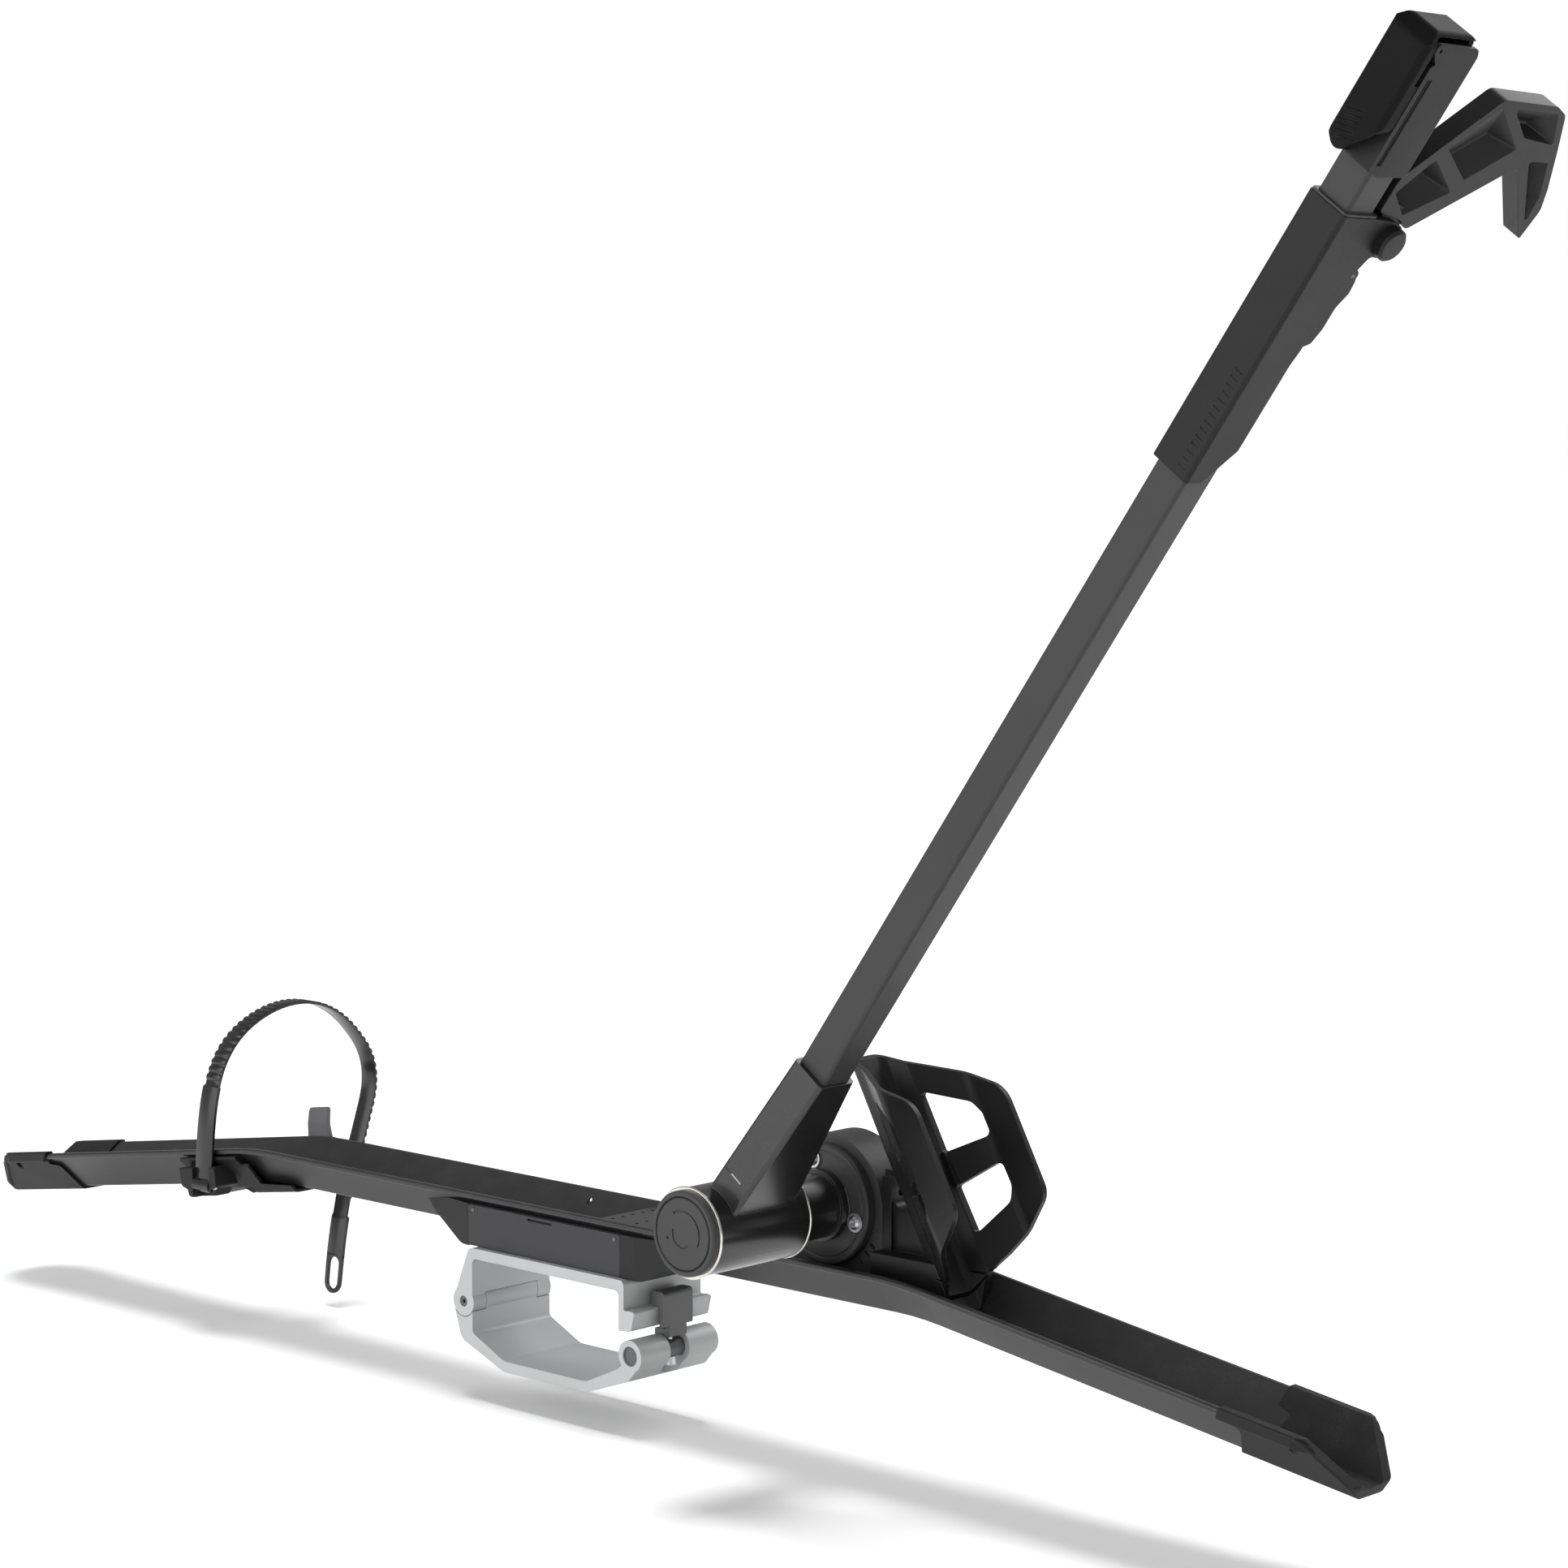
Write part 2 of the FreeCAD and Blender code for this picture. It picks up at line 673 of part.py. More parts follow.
def pivot_block():
    """Upright round-topped block that stands in the tray and carries the pivot."""
    floor = rim_height - tray_depth + tray_wall
    upright = box(hub_x - block_radius, hub_x + block_radius, block_front, block_back, floor, hub_z)
    crown = rod_y(block_radius, block_front, block_back, hub_x, hub_z)
    room = vee(-tray_wall - 0.05, 0, hub_x - 60, hub_x + 60)
    room.translate(Vector(0, 0, rim_height))
    above = box(hub_x - 60, hub_x + 60, -60, 60, rim_height - 0.1, hub_z + 60)
    body = join([upright, crown]).common(room.fuse(above))
    cuts = [rod_y(shaft_radius - 2, block_front - 1, block_back + 1, hub_x, hub_z)]
    for angle in (-33.6, -45.0):
        tick = box(disc_radius + 1.4, disc_radius + 9.5, block_front - 1, block_front + 0.8, -0.5, 0.5)
        cuts.append(placed(tick, Placement(Vector(hub_x, 0, hub_z), Rotation(ALONG_Y, -angle))))
    for angle in (60.0, 120.0, 240.0, 300.0):
        x = hub_x + 33 * math.cos(math.radians(angle))
        z = hub_z + 33 * math.sin(math.radians(angle))
        cuts.append(rod_y(7, block_back - 9, block_back + 1, x, z))
    return body.cut(cuts)


def detent_disc():
    """Disc fixed to the block, notched at the back edge for the arm positions."""
    edge = disc_radius
    disc = turned_y([
        (shaft_radius - 2, block_front), (edge, block_front), (edge, disc_front + 1.2), (edge - 1.2, disc_front),
        (edge - 4, disc_front), (edge - 4.6, disc_front + 0.7), (edge - 5.4, disc_front + 0.7),
        (edge - 6, disc_front), (shaft_radius - 2, disc_front),
    ], hub_x, hub_z)
    holes = []
    for angle in (-15.0, 105.0, 225.0):
        x = hub_x + disc_bolt_circle * math.cos(math.radians(angle))
        z = hub_z + disc_bolt_circle * math.sin(math.radians(angle))
        holes.append(rod_y(3.0, disc_front - 1, block_front + 1, x, z))
    return disc.cut(holes)


def disc_bolts():
    """Three socket screws with washers through the disc."""
    bolts = []
    for angle in (-15.0, 105.0, 225.0):
        x = hub_x + disc_bolt_circle * math.cos(math.radians(angle))
        z = hub_z + disc_bolt_circle * math.sin(math.radians(angle))
        washer = rod_y(disc_bolt_head, disc_front - 1.4, disc_front, x, z)
        head = turned_y([(0, disc_front - 3.6), (3.0, disc_front - 3.6), (4.6, disc_front - 2.2), (4.6, disc_front - 1.4),
                         (0, disc_front - 1.4)], x, z)
        shank = rod_y(2.9, disc_front - 1.4, block_front, x, z)
        socket = rod_y(1.8, disc_front - 4, disc_front - 2, x, z)
        bolts.append(join([washer, head, shank]).cut(socket))
    return Part.makeCompound(bolts)


def pivot_shaft():
    """Stepped shaft from the block to the front of the barrel."""
    shaft = turned_y([
        (0, barrel_front_y + 0.4), (shaft_radius, barrel_front_y + 0.4), (shaft_radius, barrel_back_y + 0.4),
        (collar_radius, barrel_back_y + 0.4), (collar_radius, disc_front - 6), (collar_radius + 2.5, disc_front - 6),
        (collar_radius + 2.5, disc_front), (shaft_radius - 2.1, disc_front), (shaft_radius - 2.1, block_back - 1),
        (0, block_back - 1),
    ], hub_x, hub_z)
    return shaft


def hub_barrel():
    """Barrel that turns on the shaft, with the flared tube socket cast on."""
    barrel = turned_y([
        (shaft_radius + pivot_gap, barrel_front_y), (hub_radius - 0.8, barrel_front_y),
        (hub_radius, barrel_front_y + 0.8), (hub_radius, barrel_back_y - 0.8), (hub_radius - 0.8, barrel_back_y),
        (shaft_radius + pivot_gap, barrel_back_y),
    ], 0, 0)
    half = socket_half
    near = tube_near_y - socket_near_skin
    far = tube_far_y + socket_far_skin
    near_foot = near - socket_near_flare
    far_foot = far + socket_far_flare
    foot = outline([(-half, near_foot), (half, near_foot), (half, far_foot), (-half, far_foot)], 3.0, plan_view(19))
    top = outline([(-half, near), (half, near), (half, far), (-half, far)], 3.0, plan_view(socket_top))
    neck = Part.makeLoft([foot, top], True, True)
    pocket = tube_outline(0.1)
    pocket = Part.Face(outline(pocket, tube_corner, plan_view(tube_start - 0.5))).extrude(Vector(0, 0, socket_top))
    tick = box(-half - 1, 0.5, near_foot - 10, tube_near_y, tube_start + 1.4, tube_start + 2.6)
    skin = Part.makeLoft([foot, top], True, True)
    skin.translate(Vector(0, 0.6, 0))
    groove = tick.cut(skin)
    bore = rod_y(shaft_radius + pivot_gap, barrel_front_y - 1, barrel_back_y + 1, 0, 0)
    body = join([barrel, neck]).cut([pocket, groove, bore])
    return placed(body, arm_frame())


def tube_outline(gap):
    """Corner points of the square tube in the arm frame, grown by a gap."""
    half = tube_half + gap
    near = tube_near_y - gap
    far = tube_far_y + gap
    return [(-half, near), (half, near), (half, far), (-half, far)]


def hub_cap():
    """Front cap with turned rings and a keyed centre."""
    front = cap_front_y
    back = barrel_front_y - 2.0
    edge = cap_radius
    cap = turned_y([
        (0, back), (edge, back), (edge, front + 1.4), (edge - 1.4, front), (edge - 3.4, front),
        (edge - 3.8, front + 0.9), (edge - 4.6, front + 0.9), (edge - 5.0, front), (0, front),
    ], 0, 0)
    cuts = []
    for radius, start, sweep in ((14.6, -70, 150), (8.4, 110, 140)):
        ring = turned_y([(radius, front - 1), (radius + 1.3, front - 1), (radius + 1.3, front + 0.8),
                         (radius, front + 0.8)], 0, 0)
        wedge = Part.makeCylinder(20, 4, Vector(0, front - 2, 0), ALONG_Y, sweep)
        wedge.rotate(ORIGIN, ALONG_Y, start)
        cuts.append(ring.common(wedge))
    cuts.append(rod_y(1.0, front - 1, front + 1.2, -8.5, -11.5))
    return placed(cap.cut(cuts), arm_frame())


def thrust_rings():
    """Bright rings at both ends of the barrel."""
    front = turned_y([
        (10, barrel_front_y - 2.0), (hub_radius + 0.5, barrel_front_y - 2.0), (hub_radius + 1.1, barrel_front_y - 1.2),
        (hub_radius + 1.1, barrel_front_y - 0.6), (hub_radius + 0.5, barrel_front_y), (10, barrel_front_y),
    ], 0, 0)
    back = turned_y([
        (collar_radius + 0.6, barrel_back_y), (hub_radius, barrel_back_y), (hub_radius + 0.5, barrel_back_y + 0.6),
        (hub_radius + 0.5, barrel_back_y + 1.2), (hub_radius - 0.4, barrel_back_y + 1.8),
        (collar_radius + 0.6, barrel_back_y + 1.8),
    ], 0, 0)
    return placed(Part.makeCompound([front, back]), arm_frame())


def arm_tube():
    """Square tube with a row of lock notches in its wheel-side face."""
    body = prism_z(tube_outline(0), tube_corner, tube_start, tube_end)
    hollow = prism_z(tube_outline(-tube_wall), tube_corner - tube_wall, tube_start - 1, tube_end + 1)
    far = tube_far_y
    cuts = [hollow]
    for index in range(notch_count):
        start = notch_first + index * notch_pitch
        cuts.append(box(-notch_half_width, notch_half_width, far - tube_wall - 1, far + 1, start, start + notch_length))
    return placed(body.cut(cuts), arm_frame())


def arm_head():
    """Moulded head over the top of the tube: a ridge round the cover, and two ears that carry it."""
    half = head_half
    side = [
        (head_near_y, head_bottom + 2), (tube_near_y + 2, head_bottom - 1.5), (head_far_y, head_bottom),
        (head_far_y, head_top), (head_near_y, head_top),
    ]
    body = Part.Face(outline(side, [3, 6, 1, 2, 3], end_view(-half))).extrude(Vector(2 * half, 0, 0))
    ear = [
        (head_far_y, head_top - 10), (tube_near_y + 3, head_top - 9), (head_near_y - 3.7, ear_top - 6),
        (head_near_y - 3.7, ear_top), (head_far_y - 3, ear_top), (head_far_y, ear_top - 5),
    ]
    radii = [0, 2, 3, 3, 4, 4]
    inner = half - ear_thickness
    ears = []
    for start in (-half, inner):
        ears.append(Part.Face(outline(ear, radii, end_view(start))).extrude(Vector(ear_thickness, 0, 0)))
    body = join([body] + ears)
    pocket = Part.Face(outline(tube_outline(0.1), tube_corner, plan_view(head_bottom - 5)))
    cuts = [pocket.extrude(Vector(0, 0, tube_end - head_bottom + 5.4))]
    cuts.append(rod_y(lock_radius + 0.1, head_near_y - 1, tube_near_y - 2.2, 2, lock_u))
    cuts.append(rod_x(cover_pin_radius, -half + 1, half - 1, cover_pin_y, cover_pin_u))
    for start, end in ((-half - 1, -inner + 0.6), (inner - 0.6, half + 1)):
        cuts.append(rod_x(1.2, start, end, head_near_y + 0.6, ear_top - 4))
    for edge in (-half, half):
        valley = prism_z([(edge - 1.7, tube_near_y - 0.6), (edge + 1.7, tube_near_y - 0.6),
                          (edge + 1.7, tube_near_y - 5), (edge - 1.7, tube_near_y - 5)], 1.5, head_bottom + 6, head_top - 9)
        cuts.append(valley)
    return placed(body.cut(cuts), arm_frame())


def lock_core():
    """Round lock with a keyway, under the cover."""
    core = rod_y(lock_radius, head_near_y - 1.6, tube_near_y - 2.4, 2, lock_u)
    keyway = box(1.2, 2.8, head_near_y - 3, head_near_y + 3, lock_u - 4.5, lock_u + 4.5)
    return placed(core.cut(keyway), arm_frame())


def head_cover():
    """Flip-up cover: rounded front with grip grooves, and a top that reaches back between the ears."""
    half = head_half - 0.4
    near = cover_near_y
    seat = head_near_y - cover_gap
    front = [
        (-half, cover_bottom + 11), (-half + 7, cover_bottom), (-2, cover_bottom + 2), (half - 4, cover_bottom + 19),
        (half, cover_bottom + 26), (half, cover_top - 7), (half - 5, cover_top), (-half + 4, cover_top),
        (-half, cover_top - 6),
    ]
    solid = Part.Face(outline(front, [6, 5, 8, 8, 6, 5, 5, 4, 4], side_view(near))).extrude(Vector(0, 60, 0))
    back = cover_pin_y + cover_pin_drop
    profile = [
        (near, cover_bottom + 8), (near + 5, cover_bottom - 2), (seat, cover_bottom - 2), (seat, head_top - 14),
        (seat + 3, head_top + cover_gap), (back, head_top + cover_gap), (back, cover_top), (near + 8, cover_top),
        (near, cover_top - 8),
    ]
    side = Part.Face(outline(profile, [12, 2, 0, 2, 2, 5.5, 6.5, 7, 7], end_view(-half - 1)))
    body = solid.common(side.extrude(Vector(2 * half + 2, 0, 0)))
    round_edges = prism_z([(-half, near), (half, near), (half, back + 9), (-half, back + 9)], [5.5, 4, 0, 0],
                          cover_bottom - 5, cover_top + 5)
    body = body.common(round_edges)
    hollow_side = [
        (near + cover_wall, cover_bottom + 8), (near + 6, cover_bottom + 2), (back + 20, cover_bottom + 2),
        (back + 20, cover_top - cover_wall), (near + 9, cover_top - cover_wall), (near + cover_wall, cover_top - 9),
    ]
    hollow = Part.Face(outline(hollow_side, [3, 2, 0, 0, 6, 6], end_view(-half + cover_wall)))
    hollow = hollow.extrude(Vector(2 * (half - cover_wall), 0, 0))
    inner = head_half - ear_thickness - cover_gap
    knuckle = rod_x(cover_knuckle_radius, -inner, inner, cover_pin_y, cover_pin_u)
    bridge = box(-inner, inner, cover_pin_y - 2, cover_pin_y + 2, cover_pin_u, cover_top - 1)
    body = join([body.cut(hollow), knuckle.fuse(bridge).common(body)])
    cuts = [rod_x(cover_pin_radius + pivot_gap, -half - 1, half + 1, cover_pin_y, cover_pin_u)]
    for start, end in ((-half - 2, -inner), (inner, half + 2)):
        cuts.append(box(start, end, head_near_y - 3.7 - cover_gap, back + 9, head_top - 14, cover_top + 2))
    for index in range(7):
        level = cover_bottom + 6.5 + index * 3.4
        groove = box(-half - 1, 2, near - 1, near + 0.7, level, level + 1.3)
        groove.rotate(Vector(0, near, level), ALONG_Y, -18)
        cuts.append(groove)
    return placed(body.cut(cuts), arm_frame())


def cover_pin():
    """Hinge pin of the cover, blind in both ears."""
    pin = rod_x(cover_pin_radius - 0.02, -head_half + 1.2, head_half - 1.2, cover_pin_y, cover_pin_u)
    return placed(pin, arm_frame())


def slider_sleeve():
    """Sleeve round the tube that flares into two cheeks for the hook pin."""
    half = sleeve_half
    near = sleeve_near_y
    far = sleeve_far_y
    shell = prism_z([(-half, near), (half, near), (half, far), (-half, far)], [3, 3, 2, 2], sleeve_bottom, sleeve_top)
    pin_y = hook_pin_y
    pin_u = hook_pin_u
    flare = [
        (far - 2, pin_u - 89.5), (far, pin_u - 77.5), (far + 1.6, pin_u - 49.5), (far + 5.5, pin_u - 25.5),
        (pin_y - 6, pin_u - hook_boss_radius + 0.6),
        (pin_y + 3, pin_u - hook_boss_radius - 0.4), (pin_y + hook_boss_radius, pin_u - 3),
        (pin_y + 8, pin_u + hook_boss_radius - 2), (pin_y - 3, pin_u + hook_boss_radius + 1), (far - 2, sleeve_top),
    ]
    flare_face = Part.Face(outline(flare, [0, 20, 30, 14, 4, 6, 8, 6, 4, 0], end_view(-half)))
    lug = flare_face.extrude(Vector(half + cheek_front, 0, 0))
    ears = [
        rod_x(4.0, lever_near - 3, lever_near - 0.2, lever_pin_y, lever_pin_u),
        rod_x(4.0, lever_far + 0.2, half, lever_pin_y, lever_pin_u),
    ]
    body = join([shell, lug])
    body = body.cut(box(lever_near - 0.2, lever_far + 0.2, far + 1.2, far + 30, lever_pin_u - 25, lever_pin_u + 7.5))
    body = join([body] + ears)
    gap = box(cheek_back - 0.2, cheek_front - cheek_thickness + 0.2, pin_y - 13.5, pin_y + 40, pin_u - 40, pin_u + 40)
    cuts = [gap]
    cuts.append(prism_z(tube_outline(sleeve_gap), tube_corner, sleeve_bottom - 1, sleeve_top + 1))
    cuts.append(rod_x(hook_pin_radius, -half - 1, half + 1, pin_y, pin_u))
    cuts.append(rod_x(lever_pin_radius, lever_near - 3, half + 1, lever_pin_y, lever_pin_u))
    foot = [
        (near + 13.2, sleeve_bottom - 1), (near + 21.2, sleeve_bottom + 9), (far + 0.4, sleeve_bottom + 26),
        (far + 4.9, sleeve_bottom + 31), (far + 4.9, sleeve_bottom - 1),
    ]
    cuts.append(Part.Face(outline(foot, 0, end_view(-half - 1))).extrude(Vector(2 * half + 2, 0, 0)))
    edge = [(half - 3.2, near - 1), (half + 1, near - 1), (half + 1, near + 3.2)]
    cuts.append(prism_z(edge, 0, sleeve_bottom - 1, sleeve_top - 12))
    for index in range(tick_count):
        level = sleeve_bottom + 6 + index * 5.2
        cuts.append(box(4.5, 10.5, near - 1, near + 0.5, level, level + 1.5))
    cuts.append(box(-3.6, 3.6, tube_far_y, far + 1, lever_pin_u - 43, lever_pin_u - 13))
    return placed(body.cut(cuts), arm_frame())


def sleeve_liners():
    """Slide bush at the top of the sleeve."""
    half = sleeve_half - 0.6
    near = sleeve_near_y + 1.0
    far = sleeve_far_y - 1.5
    ring = prism_z([(-half, near), (half, near), (half, far), (-half, far)], 2.5, sleeve_top, sleeve_top + 1.6)
    bore = prism_z(tube_outline(sleeve_gap), tube_corner, sleeve_top - 1, sleeve_top + 3)
    return placed(ring.cut(bore), arm_frame())


def release_lever():
    """Finger lever on the wheel side of the slider, with the lock pawl on its back."""
    far = sleeve_far_y
    level = lever_pin_u
    points = [
        (far + 2.6, level - 51), (far + 9.5, level - 48), (far + 12.4, level - 38), (far + 12.4, level - 23),
        (far + 17, level - 13), (far + 16, level - 5), (far + 12, level + 3.5), (far + 4.5, level + 3.5),
        (far + 3.4, level - 20),
    ]
    wide = Vector(lever_far - lever_near, 0, 0)
    blade = Part.Face(outline(points, [1.5, 3, 8, 8, 3, 3, 3, 3, 20], end_view(lever_near))).extrude(wide)
    blade = blade.cut(rod_x(lever_pin_radius + pivot_gap, 0, 15, lever_pin_y, lever_pin_u))
    return placed(blade, arm_frame())


def lever_pin():
    """Pin that the release lever turns on."""
    pin = rod_x(lever_pin_radius, lever_near - 3, sleeve_half, lever_pin_y, lever_pin_u)
    return placed(pin, arm_frame())


def hook_pin():
    """Hook pin with its round knob on the underside."""
    pin = rod_x(hook_pin_radius - 0.02, -sleeve_half + 0.4, cheek_front, hook_pin_y, hook_pin_u)
    profile = [
        (0, cheek_front), (knob_radius, cheek_front), (knob_radius, cheek_front + 5), (knob_radius - 1.6, cheek_front + 6.6),
        (0, cheek_front + 6.6),
    ]
    corners = [Vector(depth, hook_pin_y + radius, hook_pin_u) for radius, depth in profile]
    face = Part.Face(Part.makePolygon(corners + corners[:1]))
    knob = face.revolve(Vector(0, hook_pin_y, hook_pin_u), ALONG_X, 360)
    return placed(join([pin, knob]), arm_frame())


def hook_pocket(corners, low_end, high_end):
    """Tool for one vee pocket: four sloping sides from its rim down to a short crease."""
    place_rim = end_view(hook_front + 0.01)
    place_crease = end_view(hook_back + hook_floor)
    rim = [(hook_pin_y + y, hook_pin_u + u) for y, u in corners]
    start = Vector(hook_pin_y + low_end[0], hook_pin_u + low_end[1], 0)
    end = Vector(hook_pin_y + high_end[0], hook_pin_u + high_end[1], 0)
    along = (end - start).normalize()
    across = Vector(-along.y, along.x, 0) * hook_crease
    crease = [start + across, end + across, end - across, start - across]
    crease = [(point.x, point.y) for point in crease]
    return Part.makeLoft([outline(rim, 1.6, place_rim), outline(crease, 0.5, place_crease)], True, True)


def tyre_hook():
    """Moulded hook over the tyre: a bar and a bent tip with four vee pockets between slanting ribs."""
    pin_y = hook_pin_y
    pin_u = hook_pin_u
    shape = [
        (-18.5, 17), (-18.5, 39.5), (35.5, 94.8), (90.5, 94), (103, 89), (116.5, 66.5), (131.5, 39.5), (137.3, 25.5),
        (133.5, 4.5), (86.5, 52.5), (14.8, 6.7), (4, 13),
    ]
    shape = [(pin_y + y, pin_u + u) for y, u in shape]
    radii = [3, 12, 8, 14, 8, 30, 16, 8, 1.2, 5, 6, 3]
    depth = hook_front - hook_back
    slab = Part.Face(outline(shape, radii, end_view(hook_back))).extrude(Vector(depth, 0, 0))
    pockets = [
        hook_pocket([(-15, 30), (4.3, 53.5), (37.2, 33.1), (4, 16)], (-6, 24), (14.6, 38.8)),
        hook_pocket([(8.5, 61.2), (38, 89.5), (75.3, 64.3), (42.5, 41.6)], (30, 50.5), (54.7, 67.7)),
        hook_pocket([(48, 91), (95, 89.8), (109, 69), (76, 72)], (73.5, 76.4), (87, 76.4)),
        hook_pocket([(95, 57), (115, 57.5), (127.5, 35), (129.5, 15)], (107, 51.6), (119.5, 28)),
    ]
    tongue_front = cheek_front - cheek_thickness - 0.2
    tongue = rod_x(hook_boss_radius - 1.2, cheek_back, tongue_front, pin_y, pin_u)
    root = [(pin_y - 8, pin_u + 4), (pin_y - 14, pin_u + 24), (pin_y + 6, pin_u + 20), (pin_y + 12, pin_u + 5)]
    root_solid = Part.Face(outline(root, 1, end_view(cheek_back))).extrude(Vector(tongue_front - cheek_back, 0, 0))
    body = join([slab.cut(pockets), tongue, root_solid])
    bore = rod_x(hook_pin_radius + pivot_gap, -30, 30, pin_y, pin_u)
    clear = rod_x(hook_boss_radius + 2.2, tongue_front, 30, pin_y, pin_u)
    return placed(body.cut([bore, clear]), arm_frame())


def cradle_bolt_holes():
    """Tools for the bolt holes through the trough into the pedestal."""
    holes = []
    for level in cradle_bolt_levels:
        holes.append(Part.makeCylinder(cradle_bolt_radius, 60, Vector(-40, 2, level), ALONG_X))
    return placed(Part.makeCompound(holes), cradle_frame())


def wheel_cradle():
    """Trough with flared wings that leans against the wheel, windowed on both sides."""
    skin = cradle_skin
    half = [
        (wing_half, wing_front + 1), (wing_half - 1.5, 41), (19, 15.5), (12.5, 2), (-12.5, 2), (-19, 15.5),
        (-wing_half + 1.5, 41), (-wing_half, wing_front + 1),
    ]
    grown = skin * 1.03
    back = [
        (-wing_half - grown, wing_front + 1), (-wing_half - grown + 1.5, 39.5), (-21.5, 12.5), (-15, 2 - grown),
        (15, 2 - grown), (21.5, 12.5), (wing_half + grown - 1.5, 39.5), (wing_half + grown, wing_front + 1),
    ]
    radii = [0, 10, 4, 7, 7, 4, 10, 0, 0, 13, 6, 8, 8, 6, 13, 0]
    place = lambda a, b: Vector(b, a, 0)
    trough = Part.Face(outline(half + back, radii, place)).extrude(Vector(0, 0, 200))
    shape = [(-6, 192), (wing_front, 133), (wing_front, 56), (27, 30), (-6, 13)]
    trough = trough.common(prism_y(shape, [0, 22, 14, 12, 0], -60, 60))
    upper = [(16, 108.6), (16, 153.5), (38.5, 134), (42.4, 124), (42.4, 108.4)]
    lower = [(16.5, 50), (16, 84.4), (42.6, 90), (43, 72), (38.5, 62)]
    cuts = [prism_y(upper, [2, 2, 9, 5, 4], -60, 60), prism_y(lower, [2, 2, 4, 10, 8], -60, 60)]
    trough = trough.cut(cuts)
    ribs = []
    for side in (-1, 1):
        bar = [(14, 84.4), (14, 108.6), (19, 108.6), (19, 84.4)]
        ribs.append(prism_y(bar, 1, side * 19.6 - 1.6, side * 19.6 + 1.6))
    body = join([trough] + ribs)
    return placed(body, cradle_frame()).cut([below_tray_skin(), cradle_bolt_holes()])


def below_tray_skin():
    """Everything outside the room above the tray's inner faces, near the cradle."""
    level_room = vee(-tray_wall - 0.3, 3, 200, right_bend_x + 60)
    level_room.translate(Vector(0, 0, rim_height))
    droop_room = placed(vee(-tray_wall - 0.3, 3, -20, 120), right_frame())
    zone = box(210, 460, -60, 60, rim_height - 60, rim_height + 0.4)
    upper = box(200, right_bend_x + 80, -70, 70, rim_height + 0.3, rim_height + 30)
    return zone.cut([level_room.common(droop_room_slab()), droop_room])


def droop_room_slab():
    """Limits the level room to the side of the bend where the tray is level."""
    return box(200, right_bend_x + 2, -70, 70, 0, rim_height + 30)


def cradle_base():
    """Ribbed pedestal between the pivot block and the back of the cradle."""
    start = hub_x + block_radius
    web = [
        (start, 50), (start, 112), (start + 8, 112), (start + 8, 74), (start + 26, 100), (start + 42, 100), (start + 74, 50),
    ]
    body = [prism_y(web, [0, 0, 2, 6, 4, 0, 0], -5, 7)]
    body.append(box(start, start + 8, block_front, block_back, 50, 108))
    body.append(box(start, start + 70, block_front - 12, block_back + 6, 50, 58))
    body.append(box(start, start + 66, block_front - 12, block_back + 6, 24, 50))
    base = join(body)
    cradle_void = Part.Face(outline(
        [(-46, 90), (-46, 39.5), (-21.7, 12.3), (-15, -2.4), (15, -2.4), (21.7, 12.3), (46, 39.5), (46, 90)],
        [0, 13, 6, 8, 8, 6, 13, 0], lambda a, b: Vector(b, a, -20))).extrude(Vector(0, 0, 230))
    return base.cut([placed(cradle_void, cradle_frame()), below_tray_skin(), cradle_bolt_holes()])


def cradle_bolts():
    """Two button bolts through the trough into the pedestal."""
    bolts = []
    for level in cradle_bolt_levels:
        head = Part.makeCylinder(5, 2.6, Vector(2.0, 2, level), ALONG_X)
        shank = Part.makeCylinder(cradle_bolt_radius, 12, Vector(-9.5, 2, level), ALONG_X)
        bolts.append(join([head, shank]))
    return placed(Part.makeCompound(bolts), cradle_frame())


